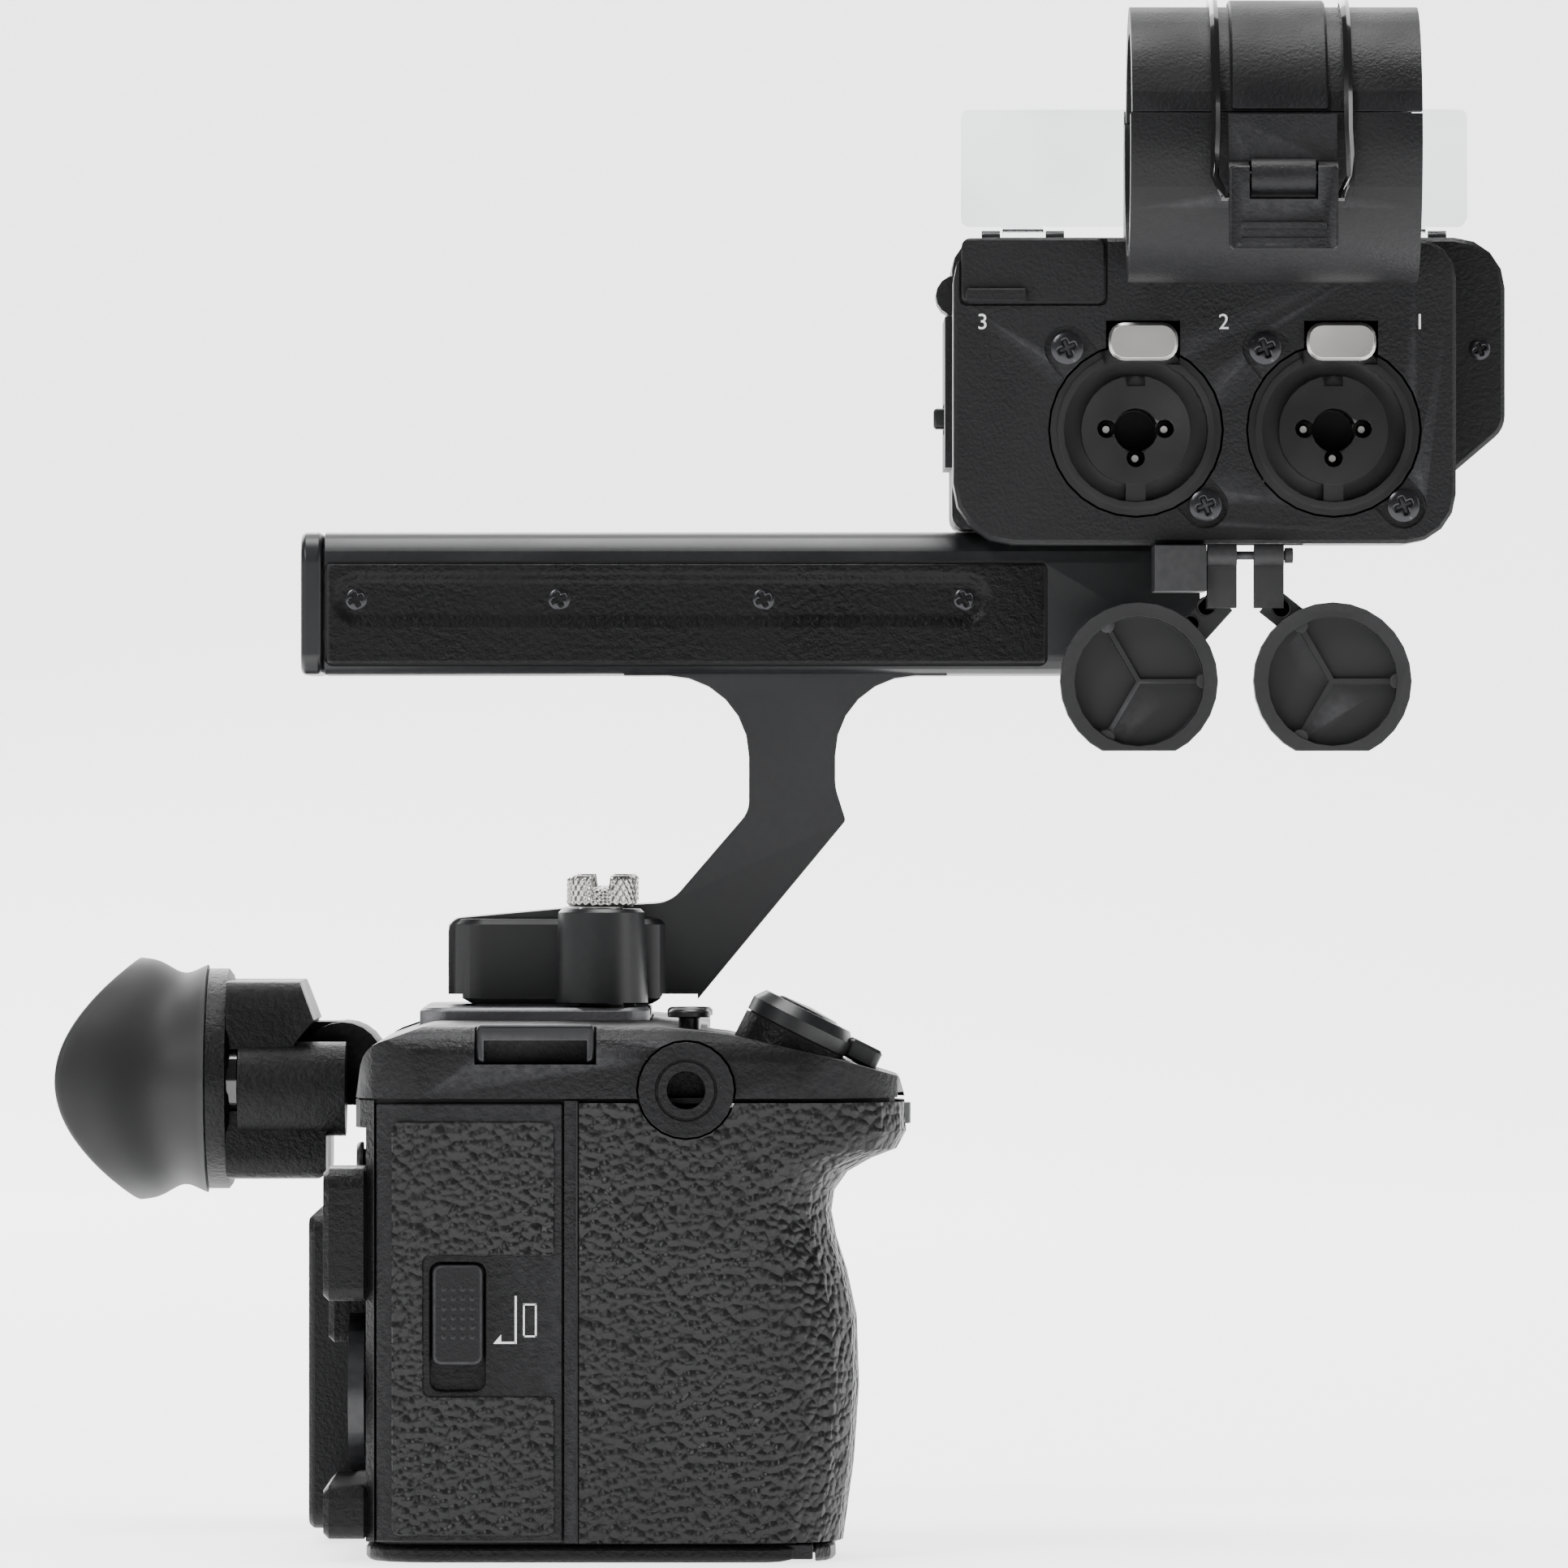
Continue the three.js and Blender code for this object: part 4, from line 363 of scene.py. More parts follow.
# %% The finish and the edge radius in mm of every part
DRESS = {
    "base_plate": ("wrinkle_paint", 0.35), "body_shell": ("wrinkle_paint", 0.35),
    "top_cover": ("wrinkle_paint", 0.4), "tripod_socket": ("bright_nickel", 0.1),
    "grip_cover": ("leatherette", 0.0), "thread_boss": ("wrinkle_paint", 0.2),
    "strap_lug_right": ("satin_paint", 0.15), "strap_lug_left": ("satin_paint", 0.15),
    "accessory_shoe": ("blasted_grey", 0.15), "card_door": ("wrinkle_paint", 0.25),
    "card_door_latch": ("moulded_plastic", 0.25), "battery_door": ("moulded_plastic", 0.2),
    "lens_mount_ring": ("bright_nickel", 0.15), "lens_release_button": ("smooth_plastic", 0.2),
    "sensor_frame": ("smooth_plastic", 0.15), "front_dial": ("satin_paint", 0.0),
    "control_wheel": ("satin_paint", 0.0), "rear_button": ("smooth_plastic", 0.15),
    "zoom_lever": ("satin_paint", 0.15), "shutter_button": ("satin_paint", 0.15),
    "port_cover_front": ("soft_rubber", 0.3), "port_cover_rear": ("soft_rubber", 0.3),
    "record_button": ("smooth_plastic", 0.15), "top_button": ("smooth_plastic", 0.15),
    "monitor_case": ("moulded_plastic", 0.3), "monitor_arm": ("satin_paint", 0.2),
    "evf_base": ("wrinkle_paint", 0.3), "evf_housing": ("wrinkle_paint", 0.4),
    "diopter_dial": ("gloss_plastic", 0.0),
    "handle_shell": ("satin_paint", 0.35), "handle_end_cap": ("satin_paint", 0.3),
    "audio_case": ("moulded_plastic", 0.4),
    "jack_plate": ("moulded_plastic", 0.2), "audio_switch": ("smooth_plastic", 0.15),
    "audio_jack_1": ("jack_plastic", 0.15), "audio_jack_2": ("jack_plastic", 0.15),
    "push_tab_1": ("bright_nickel", 0.2), "push_tab_2": ("bright_nickel", 0.2),
    "xlr_cap_1": ("cap_rubber", 0.2), "xlr_cap_2": ("cap_rubber", 0.2),
    "audio_dial_1": ("smooth_plastic", 0.0), "audio_dial_2": ("smooth_plastic", 0.0),
    "input_flap": ("moulded_plastic", 0.25), "cap_hinge": ("cap_rubber", 0.15),
    "control_panel": ("smooth_plastic", 0.25), "clear_cover": ("clear_acrylic", 0.15),
    "mic_holder_base": ("moulded_plastic", 0.3), "mic_holder_clamp": ("moulded_plastic", 0.3),
    "latch_lever": ("moulded_plastic", 0.2), "wire_bail": ("gloss_plastic", 0.0),
}
HIDDEN = {"battery_latch": "smooth_plastic",
          "image_sensor": "sensor_glass", "main_board": "green_board",
          "battery": "smooth_plastic", "monitor_screen": "dark_glass",
          "ocular_lens": "dark_glass"}
for node, (material, width) in DRESS.items():
    dressed(node, material, width)
for node, material in HIDDEN.items():
    for place in NODES[node].material_slots:
        place.material = FINISH[material]
print("dressed", len(DRESS), "parts;", len(set(NODES) - set(DRESS) - set(HIDDEN)), "left over")


# %% [markdown]
# ## Tools for the worked-out surfaces
# Screws, knurls, rubber and leather are not blocks with a texture on them. Each is a
# surface written as a formula of two parameters, worked out on a whole grid at once, and
# closed at its seam and at its poles. Pushing vertices by hand would be slow to repeat
# and easy to get wrong.

# %% From a grid of points to a closed mesh
def grid_mesh(name, points, wrap_u=True, caps=True):
    """Rows of points become quads; u may wrap round, and the first and last rows may close."""
    rows, columns = points.shape[:2]
    index = np.arange(rows * columns).reshape(rows, columns)
    near = index if wrap_u else index[:, :-1]
    far = np.roll(index, -1, 1) if wrap_u else index[:, 1:]
    quads = np.stack((near[:-1], far[:-1], far[1:], near[1:]), -1).reshape(-1, 4).tolist()
    if caps and wrap_u:
        quads += [index[0][::-1].tolist(), index[-1].tolist()]
    mesh = bpy.data.meshes.new(name)
    mesh.from_pydata(points.reshape(-1, 3).tolist(), [], quads)
    mesh.validate()
    tidy_normals(mesh)
    return mesh


def tidy_normals(mesh, merge=0.0005):
    """Merges points that meet at a pole or a seam and turns every face outwards."""
    work = bmesh.new()
    work.from_mesh(mesh)
    bmesh.ops.remove_doubles(work, verts=work.verts, dist=merge * MM)
    bmesh.ops.recalc_face_normals(work, faces=work.faces)
    work.to_mesh(mesh)
    work.free()


def axes_of(direction):
    """Two directions that make a right-handed set with the given axis."""
    axis = np.array(direction, float) / np.linalg.norm(direction)
    helper = np.array([0.0, 0.0, 1.0]) if abs(axis[2]) < 0.9 else np.array([1.0, 0.0, 0.0])
    side = np.cross(helper, axis)
    side /= np.linalg.norm(side)
    return side, np.cross(axis, side), axis


def turned(profile, centre, direction=(0, -1, 0), sides=48):
    """A profile of (radius, along) pairs in mm turned about an axis through the centre:
    point = centre + r cos(t) side + r sin(t) up + along axis."""
    side, up, axis = axes_of(direction)
    radius, along = np.array(profile, float).T
    t = np.linspace(0, 2 * np.pi, sides, endpoint=False)
    r = radius[:, None] * np.ones_like(t)[None, :]
    points = (np.array(centre)[None, None, :]
              + (r * np.cos(t))[..., None] * side + (r * np.sin(t))[..., None] * up
              + (along[:, None] * np.ones_like(t))[..., None] * axis)
    return points * MM


def join_meshes(name, meshes):
    """One mesh that holds several, which are then removed."""
    work = bmesh.new()
    for mesh in meshes:
        work.from_mesh(mesh)
        bpy.data.meshes.remove(mesh)
    whole = bpy.data.meshes.new(name)
    work.to_mesh(whole)
    work.free()
    return whole


print("surface tools ready")


# %% [markdown]
# ## Screws
# The handle and the jacks are held by small cross-head screws. A boolean cut would leave
# ragged edges at this size, so the recess is part of the formula: the head's surface
# drops wherever a point lies in the arms of the cross.

# %% A pan head with a cross recess
def screw_head(name, centre, direction, radius, height=0.6, turn=0.0, rings=22, sides=96):
    """Height over a disc: a dome that falls as the square of the radius, minus a cross.
    The cross is the larger of two long bumps, each a smooth step in u and in v."""
    side, up, axis = axes_of(direction)
    r = np.linspace(0.0, radius, rings)
    t = np.linspace(0, 2 * np.pi, sides, endpoint=False)
    u, v = r[:, None] * np.cos(t - turn), r[:, None] * np.sin(t - turn)
    arm, reach = radius * 0.15, radius * 0.55

    def step(far, soft):
        return 1 / (1 + np.exp(far / soft))

    across = step(np.abs(u) - arm, 0.05) * step(np.abs(v) - reach, 0.06)
    along = step(np.abs(v) - arm, 0.05) * step(np.abs(u) - reach, 0.06)
    lift = height * (1 - 0.55 * (r[:, None] / radius) ** 4) - 0.75 * np.maximum(across, along)
    skirt = np.full((1, sides), -0.15)
    u, v = np.vstack((u, u[-1:])), np.vstack((v, v[-1:]))
    lift = np.vstack((lift * np.ones_like(t), skirt))
    turn_u = u * np.cos(turn) - v * np.sin(turn)
    turn_v = u * np.sin(turn) + v * np.cos(turn)
    points = (np.array(centre)[None, None, :] + turn_u[..., None] * side
              + turn_v[..., None] * up + lift[..., None] * axis) * MM
    return grid_mesh(name, points)


# %% Places of the jacks, in mm
def jack_middle(number):
    """x and z of a jack's axis: it is round, so its radius above its lowest point."""
    low, high = box_mm(f"audio_jack_{number}")
    radius = (high[0] - low[0]) / 2
    return low[0] + radius, low[2] + radius


JACKS = {1: jack_middle(1), 2: jack_middle(2)}
JACK_FACE = box_mm("jack_plate")[0][1]
JACK_SCREWS = ((-9.7, 11.5), (9.8, -10.7))  # across and up from a jack's axis
print("jack axes", {n: tuple(round(float(v), 2) for v in at) for n, at in JACKS.items()})

# %% Screws of the handle panel, the jacks, the audio unit and the base
CHANNEL_Z = 133.8  # height of the panel's channel and of its screws
PANEL_SCREWS = (-36.1, -7.2, 21.9, 50.5)
BASE_SCREWS = ((-27.0, -62.0), (7.0, -30.0), (7.0, 44.0), (-27.0, 44.0))
SCREWS = {}  # name: place, way out, radius, height, part
for number, x in enumerate(PANEL_SCREWS, 1):
    for side, label in ((-1, "right"), (1, "left")):
        SCREWS[f"panel_screw_{number}_{label}"] = (
            (x, side * 12.35, CHANNEL_Z), (0, side, 0), 1.8, 0.75, "handle_shell")
for number, (x, z) in JACKS.items():
    for corner, (u, w) in enumerate(JACK_SCREWS, 1):
        SCREWS[f"jack_screw_{number}_{corner}"] = (
            (x + u, JACK_FACE, z + w), (0, -1, 0), 2.25, 0.55, "jack_plate")
SCREWS["unit_side_screw"] = ((123.7, -15.45, 169.3), (0, -1, 0), 1.5, 0.5, "audio_case")
for number, (x, y) in enumerate(BASE_SCREWS, 1):
    SCREWS[f"base_screw_{number}"] = ((x, y, 0.45), (0, 0, -1), 2.0, 0.4, "base_plate")
for name, (place, way, radius, height, node) in SCREWS.items():
    mesh = screw_head(name, place, way, radius, height, turn=0.4)
    smooth_by_angle(mesh, 55)
    show(name, mesh, BODY_OF[node], "black_screw")
print(len(SCREWS), "screws")


# %% [markdown]
# ## Knurled thumbscrews
# Two bright screws clamp the handle. Their rims are cut with crossed spiral grooves so
# that wet fingers can turn them, and a slot takes a coin. The knurl is the sum of two
# waves that lean opposite ways, which gives the small diamonds of a real knurl.

# %% A knob with a diamond knurl and a coin slot
def knurled_knob(name, centre, radius, low, high, slot=2.7, deep=1.7, sides=208):
    """Wall: r plus a diamond wave in the angle and the height. Top: flat with a step
    down by the slot's depth wherever the point is nearer the middle line than half a slot."""
    starts, lean = 13, 9  # grooves round half the rim, and how far each one spirals
    groove, chamfer = 0.34, 0.15
    t = np.linspace(0, 2 * np.pi, sides, endpoint=False)
    share = np.linspace(0, 1, 25)
    fade = np.clip(np.minimum(share, 1 - share) * 9, 0, 1)
    x = np.cos(t)[None, :]
    inside = 1 / (1 + np.exp((np.abs(radius * x) - slot / 2) / 0.03))
    top = high - deep * inside
    wave = (np.abs(np.sin(starts * t[None, :] + lean * share[:, None]))
            + np.abs(np.sin(starts * t[None, :] - lean * share[:, None]))) / 2
    r = radius - groove + groove * wave * fade[:, None] - chamfer * (1 - fade[:, None])
    z = low + (top - low) * share[:, None]
    wall = np.stack((r * np.cos(t), r * np.sin(t), z), -1)
    ring = np.linspace(radius - 0.5, 0.0, 26)[:, None]
    inside = 1 / (1 + np.exp((np.abs(ring * x) - slot / 2) / 0.03))
    lid = np.stack((ring * np.cos(t), ring * np.sin(t), high - deep * inside), -1)
    foot = np.stack((0.001 * np.cos(t), 0.001 * np.sin(t), np.full_like(t, low)), -1)[None]
    points = (np.concatenate((foot, wall, lid)) + np.array(centre)) * MM
    return grid_mesh(name, points, caps=False)


def plain_shank(name, centre, radius, low, high):
    """The screw's shank: a straight turned profile with small chamfers."""
    profile = [(0.001, low), (radius - 0.3, low), (radius, low + 0.3), (radius, high),
               (0.001, high)]
    return grid_mesh(name, turned(profile, centre, (0, 0, 1), 40))


KNOB_LOW, KNOB_HIGH, SHANK_LOW = 90.1, 94.5, 73.6
for side, label in ((-1, "right"), (1, "left")):
    centre = (-1.1, side * 20.0, 0.0)
    knob = knurled_knob("knob", centre, 4.95, KNOB_LOW, KNOB_HIGH)
    shank = plain_shank("shank", centre, 3.1, SHANK_LOW, KNOB_LOW + 0.1)
    mesh = join_meshes(f"thumbscrew_{label}_turned", [knob, shank])
    smooth_by_angle(mesh, 50)
    piece = show(f"thumbscrew_{label}_knurled", mesh, BODY_OF[f"thumbscrew_{label}"],
                 "bright_nickel")
    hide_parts(f"thumbscrew_{label}")
print("thumbscrews knurled")


# %% [markdown]
# ## The rubber eyecup
# The eyecup is a moulded bell of soft rubber whose rim sweeps forward at the two sides to
# shut out light. It is one wall: an outer skin, a rolled lip and an inner skin, each an
# ellipse whose half-widths follow a smooth curve from the seat to the rim.

# %% A bell whose rim follows the square of a cosine
def bell_surface(sides=120, steps=18):
    """Ring k has half-height a(k) and half-width b(k), at x between the seat and the rim;
    the rim lies at rim - wing cos(angle) squared. The lip is a half circle across the wall."""
    low, high = box_mm("eyecup")
    centre_y, centre_z = (low[1] + high[1]) / 2, (low[2] + high[2]) / 2
    seat, rim, wing = high[0], low[0] + 11.0, 10.6
    half_y, half_z = (high[1] - low[1]) / 2, (high[2] - low[2]) / 2
    angle = np.linspace(0, 2 * np.pi, sides, endpoint=False)
    rim_x = rim - wing * np.cos(angle) ** 2
    d = np.linspace(0, 1, steps)
    neck = 1 - 0.105 * np.exp(-((d - 0.34) / 0.30) ** 2) - 0.03 * (1 - d)
    outer = np.stack((d, half_z * neck, half_y * neck), 1)
    roll = np.linspace(0, np.pi, 8)[1:-1]
    lip = np.stack((1 + 0.05 * np.sin(roll), half_z - 0.7 * (1 - np.cos(roll)),
                    half_y - 0.7 * (1 - np.cos(roll))), 1)
    back = np.linspace(0.98, 0.12, steps)
    shrink = 1 - 0.22 * np.exp(-((back - 0.25) / 0.30) ** 2)
    inner = np.stack((back, half_z * shrink - 1.6, half_y * shrink - 1.9), 1)
    throat = np.array([[0.06, 11.0, 13.2], [0.0, 10.9, 13.1]])
    loops = np.concatenate((outer, lip, inner, throat, outer[:1]))
    depth = loops[:, 0][:, None]
    x = seat + (rim_x[None, :] - seat) * depth
    y = centre_y + loops[:, 2][:, None] * np.cos(angle)
    z = centre_z + loops[:, 1][:, None] * np.sin(angle)
    return np.stack((x, y, z), -1) * MM


cup = grid_mesh("eyecup_bell", bell_surface(), caps=False)
smooth_by_angle(cup, 50)
piece = show("eyecup_rubber", cup, BODY_OF["eyecup"], "soft_rubber")
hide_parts("eyecup")
print("eyecup", len(cup.polygons), "faces")


# %% [markdown]
# ## The leather on the card door
# A thin sheet of leatherette is let into the card door and stops short of its latch. It
# is a flat outline with rounded corners, pushed out by a third of a millimetre, so an
# outline with arcs is enough and a sculpted sheet would add nothing.

# %% An outline with rounded corners, and a plate made from it
def rounded_outline(corners, steps=5):
    """Each corner (u, w, r) becomes an arc that is tangent to both its sides."""
    points = np.array([c[:2] for c in corners], float)
    radii = np.array([c[2] for c in corners], float)
    before = points - np.roll(points, 1, 0)
    after = np.roll(points, -1, 0) - points
    before /= np.linalg.norm(before, axis=1)[:, None]
    after /= np.linalg.norm(after, axis=1)[:, None]
    turn = before[:, 0] * after[:, 1] - before[:, 1] * after[:, 0]
    half = np.arccos(np.clip((before * after).sum(1), -1, 1)) / 2
    reach = radii * np.tan(half)
    s = np.linspace(0, 1, steps)[None, :, None]
    start = (points - before * reach[:, None])[:, None, :]
    end = (points + after * reach[:, None])[:, None, :]
    middle = points[:, None, :]
    curve = (1 - s) ** 2 * start + 2 * s * (1 - s) * middle + s ** 2 * end
    print("outline with", len(points), "corners,", int((turn < 0).sum()), "of them inward")
    return curve.reshape(-1, 2)


def plate_on_side(name, corners, face, back, edge=0.12):
    """A closed plate in a plane of constant y: two rings at the face and one at the back."""
    rim = rounded_outline(corners)
    ring = np.roll(rim, -1, 0) - np.roll(rim, 1, 0)
    normal = np.stack((ring[:, 1], -ring[:, 0]), 1)
    normal /= np.maximum(np.linalg.norm(normal, axis=1), 1e-9)[:, None]
    area = np.sum(rim[:, 0] * np.roll(rim[:, 1], -1) - rim[:, 1] * np.roll(rim[:, 0], -1))
    inset = rim - normal * edge * np.sign(area)
    rows = [(inset, face), (rim, face + edge), (rim, back)]
    points = np.stack([np.stack((r[:, 0], np.full(len(r), y), r[:, 1]), 1) for r, y in rows])
    return grid_mesh(name, points * MM)


DOOR_FACE = box_mm("card_door")[0][1]
door_leather = [(-29.3, 3.9, 1.2), (-6.9, 3.9, 1.2), (-6.9, 23.0, 0.8), (-25.0, 23.0, 1.2),
                (-25.0, 42.5, 1.2), (-6.9, 42.5, 0.8), (-6.9, 60.9, 1.2), (-29.3, 60.9, 1.2)]
mesh = plate_on_side("door_leather", door_leather, DOOR_FACE - 0.35, DOOR_FACE + 0.2)
smooth_by_angle(mesh, 30)
show("card_door_leather", mesh, BODY_OF["card_door"], "leatherette")
print("door leather laid")


# %% The grip dots on the latch and the printed arrow beside it
def dot_field(name, columns, rows, face, radius=0.42, lift=0.22):
    """Small domes on a grid: height falls as a cosine from the middle to the rim."""
    r = np.linspace(0, 1, 4)[:, None]
    t = np.linspace(0, 2 * np.pi, 10, endpoint=False)[None, :]
    domes = []
    for x in columns:
        for z in rows:
            dome = np.stack((x + radius * r * np.cos(t),
                             face - lift * np.cos(r * np.pi / 2) + 0 * t,
                             z + radius * r * np.sin(t)), -1)
            domes.append(grid_mesh("dome", dome * MM))
    return join_meshes(name, domes)


dots = dot_field("latch_dots_mesh", (-22.1, -20.8, -19.5, -18.2),
                 np.linspace(31.3, 37.9, 6), -75.68)
smooth_by_angle(dots, 60)
show("latch_dots", dots, BODY_OF["card_door_latch"], "moulded_plastic")


def printed(name, outlines, face, node):
    """Flat ink shapes, three hundredths of a millimetre thick, on a side of constant y."""
    marks = [plate_on_side("mark", [(u, w, 0.05) for u, w in shape], face, face + 0.03, 0.01)
             for shape in outlines]
    return show(name, join_meshes(name + "_mesh", marks), BODY_OF[node], "white_ink")


arrow = [[(-12.35, 30.3), (-12.05, 30.3), (-12.05, 36.9), (-12.35, 36.9)],
         [(-15.3, 30.3), (-12.2, 30.3), (-12.2, 30.6), (-14.2, 30.6), (-14.2, 31.6)]]
card_mark = [[(-11.2, 31.2), (-9.3, 31.2), (-9.3, 31.45), (-11.2, 31.45)],
             [(-11.2, 35.6), (-9.3, 35.6), (-9.3, 35.85), (-11.2, 35.85)],
             [(-11.2, 31.2), (-10.95, 31.2), (-10.95, 35.8), (-11.2, 35.8)],
             [(-9.55, 31.2), (-9.3, 31.2), (-9.3, 35.8), (-9.55, 35.8)]]
printed("latch_arrow", arrow + card_mark, DOOR_FACE - 0.04, "card_door")
print("latch dots and arrow")


# %% Numbers beside the jacks
def numeral(name, text, place, height, node):
    """A built-in numeral as a flat mesh, stood upright facing the hand-grip side."""
    curve = bpy.data.curves.new(name, "FONT")
    curve.body, curve.size, curve.extrude = text, height * MM * 1.35, 0.00001
    holder = bpy.data.objects.new(name, curve)
    bpy.context.scene.collection.objects.link(holder)
    bpy.context.view_layer.update()
    seen = holder.evaluated_get(bpy.context.evaluated_depsgraph_get())
    mesh = bpy.data.meshes.new_from_object(seen)
    bpy.data.objects.remove(holder)
    co = np.empty(len(mesh.vertices) * 3, np.float32)
    mesh.vertices.foreach_get("co", co)
    co = co.reshape(-1, 3)
    x, y, z = (v * MM for v in place)
    stood = np.stack((co[:, 0] + x, y - co[:, 2], co[:, 1] + z), 1)
    mesh.vertices.foreach_set("co", stood.ravel())
    mesh.materials.clear()
    tidy_normals(mesh, 0.0001)
    return show(name, mesh, BODY_OF[node], "white_ink")


for text, x in (("3", 52.0), ("2", 86.0), ("1", 113.6)):
    numeral(f"jack_number_{text}", text, (x, JACK_FACE - 0.04, 171.6), 2.3, "jack_plate")
print("jack numbers 1 to 3")


# %% [markdown]
# ## The inlaid handle panel and its groove
# The panel let into the tube carries a long shallow channel for its screws. The channel's
# sides are rounded like a thumb's stroke, so the face is a height field: the depth at
# each point depends only on its distance from the channel's middle line.

# %% A face sunk by its distance from a line
def channel_panel(low, high, line, radius, soft, depth, face, cell=0.4):
    """y = face + depth times a smooth step of (radius - distance to the middle line)."""
    across = int((high[0] - low[0]) / cell)
    up = int((high[1] - low[1]) / cell)
    x, z = np.meshgrid(np.linspace(low[0], high[0], across), np.linspace(low[1], high[1], up))
    near_x = np.clip(x, line[0] + radius, line[1] - radius)
    distance = np.hypot(x - near_x, z - line[2])
    share = np.clip((radius - distance) / soft + 0.5, 0, 1)
    sunk = share * share * (3 - 2 * share)
    y = face + depth * sunk
    return np.stack((x, y, z), -1) * MM


PANEL_LOW, PANEL_HIGH = box_mm("handle_panel")
EDGE = 0.1  # the face stops this far inside the panel
points = channel_panel((PANEL_LOW[0] + EDGE, PANEL_LOW[2] + EDGE),
                       (PANEL_HIGH[0] - EDGE, PANEL_HIGH[2] - EDGE),
                       (-38.9, 53.7, CHANNEL_Z), 3.1, 1.3, 0.62, PANEL_LOW[1])
mesh = grid_mesh("handle_panel_face", points, wrap_u=False, caps=False)
smooth_by_angle(mesh, 60)
piece = show("handle_panel_channel", mesh, BODY_OF["handle_panel"], "wrinkle_paint")
wall = piece.modifiers.new("sheet", "SOLIDIFY")
wall.thickness, wall.offset = 0.35 * MM, -1.0
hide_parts("handle_panel")
print("panel", points.shape[:2], "points")


# %% [markdown]
# ## Dark sheets of painted shade in the open joints
# Where two castings meet, the real joint shows dark. With nothing behind it, daylight
# shows straight through the three-tenths gap, so thin near-black sheets close the joints
# from inside: they stop the light and show in the gap as painted shade.

# %% Sheets inside the joints
def sheet_level(name, corners, low, high, node):
    """A level plate with rounded corners, its outline in x and y."""
    rim = rounded_outline(corners)
    rows = [np.concatenate((rim, np.full((len(rim), 1), z)), 1) for z in (low, high)]
    mesh = grid_mesh(name + "_mesh", np.stack(rows) * MM)
    return show(name, mesh, BODY_OF[node], "seam_shadow")


# Near-black sheets in the joints at the top and at the base: painted shade.
sheet_level("top_shade_sheet", [(-33.7, -74.0, 8.4), (12.6, -73.4, 0.1), (40.2, -73.4, 13.0),
                           (40.2, -45.6, 8.0), (13.0, -36.0, 0.5), (13.0, 53.0, 6.0),
                           (-33.7, 53.0, 6.0)], 63.42, 64.16, "body_shell")
sheet_level("base_shade_sheet", [(-32.0, -72.6, 8.4), (28.0, -72.6, 9.0), (28.0, -45.0, 7.0),
                            (11.8, -36.0, 0.5), (11.8, 51.6, 5.0), (-32.0, 51.6, 5.0)],
            2.46, 2.84, "body_shell")


def tilted_disc(name, radius, low, high, node):
    """A short turned disc whose axis leans forward with the release dome."""
    lean = math.radians(26.6)
    axis = (math.sin(lean), 0.0, math.cos(lean))
    profile = [(0.001, low), (radius, low), (radius, high), (0.001, high)]
    mesh = grid_mesh(name + "_mesh", turned(profile, (26.0, -60.0, 71.6), axis, 40))
    return show(name, mesh, BODY_OF[node], "seam_shadow")


# A near-black disc in the gap round the release dome: painted shade.
tilted_disc("dome_shade_disc", 7.2, 1.15, 1.55, "top_cover")
print("shade sheets in place")


# %% [markdown]
# ## Fine seams of the top cover
# The top cover is pieced together from a rear cap and a front deck. The joint reads as a
# hairline, so it is a dark ribbon a quarter of a millimetre wide laid on the surface.

# %% A hairline along a path on the grip side
def hairline(name, path, face, node, width=0.26):
    """A ribbon: the path moved half a width to each side along its own normal."""
    line = np.array(path, float)
    along = np.gradient(line, axis=0)
    along /= np.linalg.norm(along, axis=1)[:, None]
    side = np.stack((-along[:, 1], along[:, 0]), 1) * width / 2
    rows = [(line + side, face), (line - side, face), (line - side, face + 0.03),
            (line + side, face + 0.03)]
    points = np.stack([np.stack((r[:, 0], np.full(len(r), y), r[:, 1]), 1) for r, y in rows], 1)
    mesh = grid_mesh(name + "_mesh", points * MM)
    return show(name, mesh, BODY_OF[node], "seam_shadow")


hairline("cover_seam_rear", [(-20.2, 69.0), (-18.6, 65.4), (-17.9, 64.9), (-17.1, 64.7),
                             (-11.0, 64.7), (-5.1, 64.7), (-4.3, 64.4), (-3.8, 64.1)],
         -75.05, "top_cover")
hairline("door_frame_seam", [(-3.8, 63.6), (-3.8, 50.0), (-3.8, 20.0), (-3.8, 3.0)],
         -75.62, "grip_cover", 0.2)
print("hairlines laid")


# %% [markdown]
# ## Inside the jacks and on the cap straps
# Small details tell a real jack from a ring with holes: three metal contacts sit deep in
# the clover of the plug, and no light reaches its bottom. The straps of the caps carry
# the round marks that the pins of a mould leave. All are turned profiles, because a
# texture would look flat where the light rakes over them.

# %% Contacts of each jack, and the dark at the bottom of its holes
PLUG_PINS = ((-4.1, 0.2), (4.1, 0.2), (0.0, -3.9))  # across and up from a jack's axis
CONTACT_TIP, PIN_BOTTOM, HOLE_BOTTOM = -26.6, -25.0, -22.0
contact = [(0.001, 0.0), (0.5, 0.0), (0.75, -0.3), (0.75, -4.0), (0.001, -4.0)]


def dark_disc(place, radius):
    """A thin turned disc that fills the bottom of a hole."""
    profile = [(0.001, 0.0), (radius, 0.0), (radius, -0.3), (0.001, -0.3)]
    return grid_mesh("depth", turned(profile, place, sides=32))


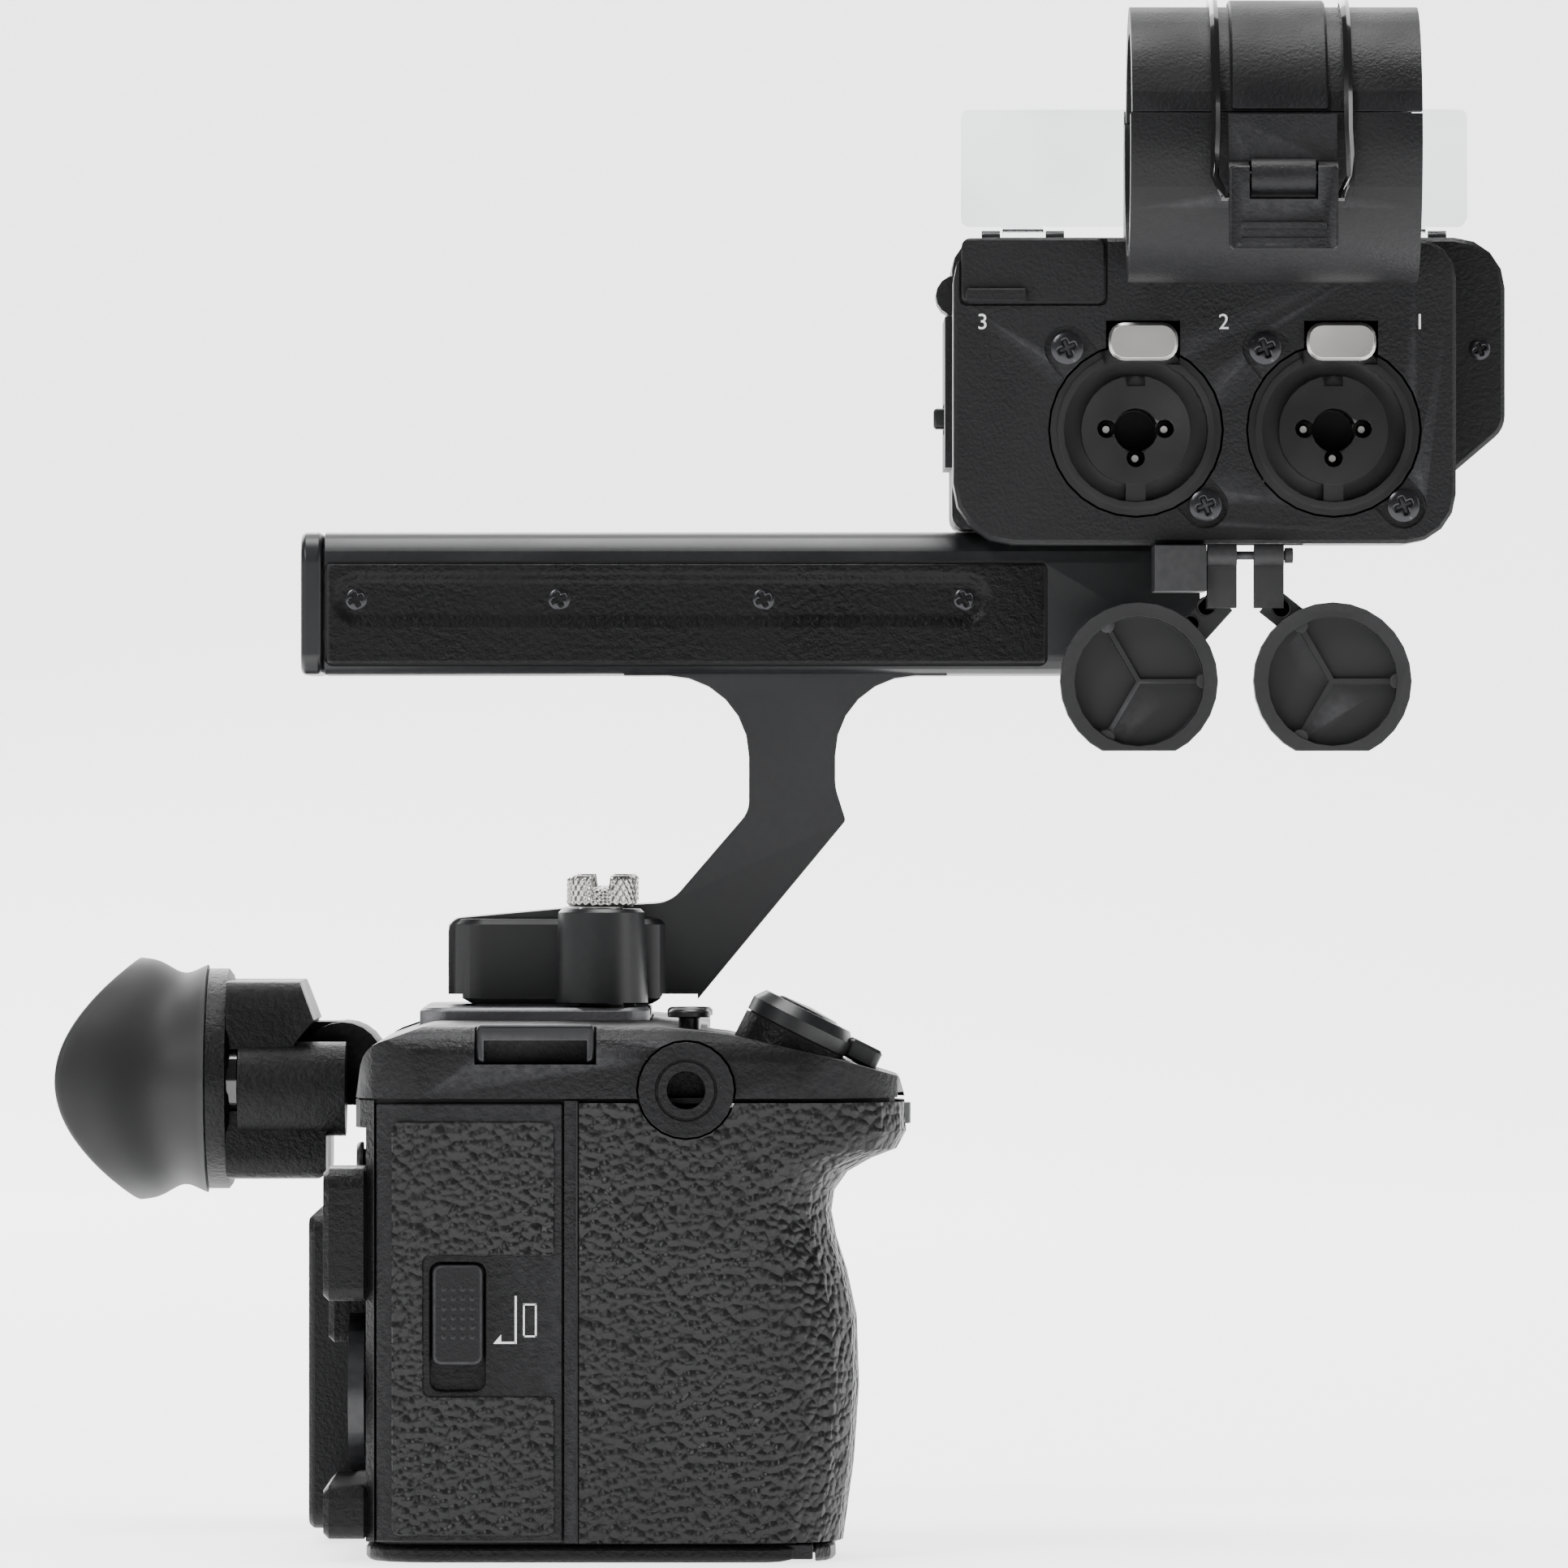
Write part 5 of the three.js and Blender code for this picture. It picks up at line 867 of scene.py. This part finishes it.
for number, (x, z) in JACKS.items():
    body = BODY_OF[f"audio_jack_{number}"]
    tips = [grid_mesh("contact", turned(contact, (x + u, CONTACT_TIP, z + w), sides=16))
            for u, w in PLUG_PINS]
    mesh = join_meshes(f"jack_contacts_{number}_mesh", tips)
    smooth_by_angle(mesh, 45)
    show(f"jack_contacts_{number}", mesh, body, "bright_nickel")
    depths = [dark_disc((x, HOLE_BOTTOM, z), 2.9)]
    depths += [dark_disc((x + u, PIN_BOTTOM, z + w), 1.2) for u, w in PLUG_PINS]
    mesh = join_meshes(f"jack_depths_{number}_mesh", depths)
    show(f"jack_depths_{number}", mesh, body, "seam_shadow")
print("contacts in", len(JACKS), "jacks")

# %% Pin marks on the cap straps
STRAP_FACE = -35.2
MARKS_ALONG = (3.2, 6.6)
ring = [(1.15, 0.0), (1.35, 0.12), (1.45, 0.0), (1.45, -0.2), (1.15, -0.2), (1.15, 0.0)]
for number, (x, strap) in enumerate(((74.7, 86.4), (101.9, 93.0)), 1):
    top = box_mm(f"xlr_cap_{number}")[1][2]
    way = np.array([x - strap, -13.0])
    way /= np.linalg.norm(way)
    for mark, along in enumerate(MARKS_ALONG, 1):
        u, w = np.array([strap, top - 6.4]) + way * along
        name = f"cap_{number}_mark_{mark}"
        mesh = grid_mesh(name + "_mesh", turned(ring, (u, STRAP_FACE, w), sides=24))
        smooth_by_angle(mesh, 45)
        show(name, mesh, BODY_OF[f"xlr_cap_{number}"], "cap_rubber")
print("cap marks added")


# %% [markdown]
# ## The studio
# The object stands on a pale floor that curves up into a pale wall, as paper does in a
# studio, lit by large soft lamps. Small lamps would give hard shadows and hide the grain
# of the black plastic.

# %% A paper sweep
def sweep_surface(width=6.0, near=-3.0, far=2.6, radius=1.0, height=4.0, rows=48):
    """A line carried along a path: level floor, a quarter circle, then a level wall."""
    turn = np.linspace(0, np.pi / 2, rows)
    path_y = np.concatenate(([near], far - radius + radius * np.sin(turn), [far]))
    path_z = np.concatenate(([0.0], radius - radius * np.cos(turn), [height]))
    x = np.array([-width / 2, width / 2])
    points = np.stack(np.broadcast_arrays(x[None, :], path_y[:, None], path_z[:, None]), -1)
    first = np.arange(len(path_y) - 1) * 2
    faces = np.stack((first, first + 1, first + 3, first + 2), 1)
    mesh = bpy.data.meshes.new("paper_sweep")
    mesh.from_pydata(points.reshape(-1, 3).tolist(), [], faces.tolist())
    mesh.polygons.foreach_set("use_smooth", np.ones(len(faces), bool))
    return mesh


def paper_finish():
    """Matt white paper with a very faint mottle and a little light of its own, as when a
    studio lights its background apart from the object."""
    material = bpy.data.materials.new("pale_paper")
    material.use_nodes = True
    tree = material.node_tree
    shader = tree.nodes["Principled BSDF"]
    mottle = add(tree, "TexNoise", Scale=3.0, Detail=2.0)
    tone = add(tree, "MapRange")
    tone.inputs["To Min"].default_value, tone.inputs["To Max"].default_value = 0.84, 0.88
    tree.links.new(mottle.outputs["Fac"], tone.inputs["Value"])
    tree.links.new(tone.outputs[0], shader.inputs["Base Color"])
    shader.inputs["Roughness"].default_value = 0.8
    shader.inputs["Emission Color"].default_value = (1, 1, 1, 1)
    shader.inputs["Emission Strength"].default_value = 2.3
    return material


sweep = bpy.data.objects.new("paper_sweep", sweep_surface())
bpy.context.scene.collection.objects.link(sweep)
sweep.data.materials.append(paper_finish())
print("paper sweep", len(sweep.data.polygons), "faces")


# %% Soft lamps and an even white surround
def lamp(name, place, aim, size, power):
    """A square area lamp turned so that its face looks at the aim point."""
    data = bpy.data.lights.new(name, "AREA")
    data.shape, data.size, data.energy = "SQUARE", size, power
    source = bpy.data.objects.new(name, data)
    bpy.context.scene.collection.objects.link(source)
    source.location = place
    way = Vector(aim) - Vector(place)
    source.rotation_euler = way.to_track_quat("-Z", "Y").to_euler()
    return source


AIM = (0.02, 0.0, 0.11)
lamp("key", (-1.1, -1.5, 1.5), AIM, 0.6, 34)
lamp("fill", (1.7, -0.7, 0.6), AIM, 0.8, 9)
lamp("top", (0.1, 0.1, 1.8), AIM, 0.8, 32)
lamp("back", (-0.6, 1.6, 0.9), AIM, 1.2, 24)
world = bpy.data.worlds.new("white room")
bpy.context.scene.world = world
world.use_nodes = True
world.node_tree.nodes["Background"].inputs["Color"].default_value = (1, 1, 1, 1)
world.node_tree.nodes["Background"].inputs["Strength"].default_value = 0.13

# %% The camera, square on to the hand-grip side
camera = bpy.data.objects.new("camera", bpy.data.cameras.new("camera"))
bpy.context.scene.collection.objects.link(camera)
camera.location = (0.0248, -2.0, 0.1075)
camera.rotation_euler = (math.radians(90), 0.0, 0.0)
camera.data.sensor_width, camera.data.lens = 36.0, 320.5
bpy.context.scene.camera = camera
print("camera at", tuple(round(v, 4) for v in camera.location))

# %% Update the finished scene
bpy.context.view_layer.update()
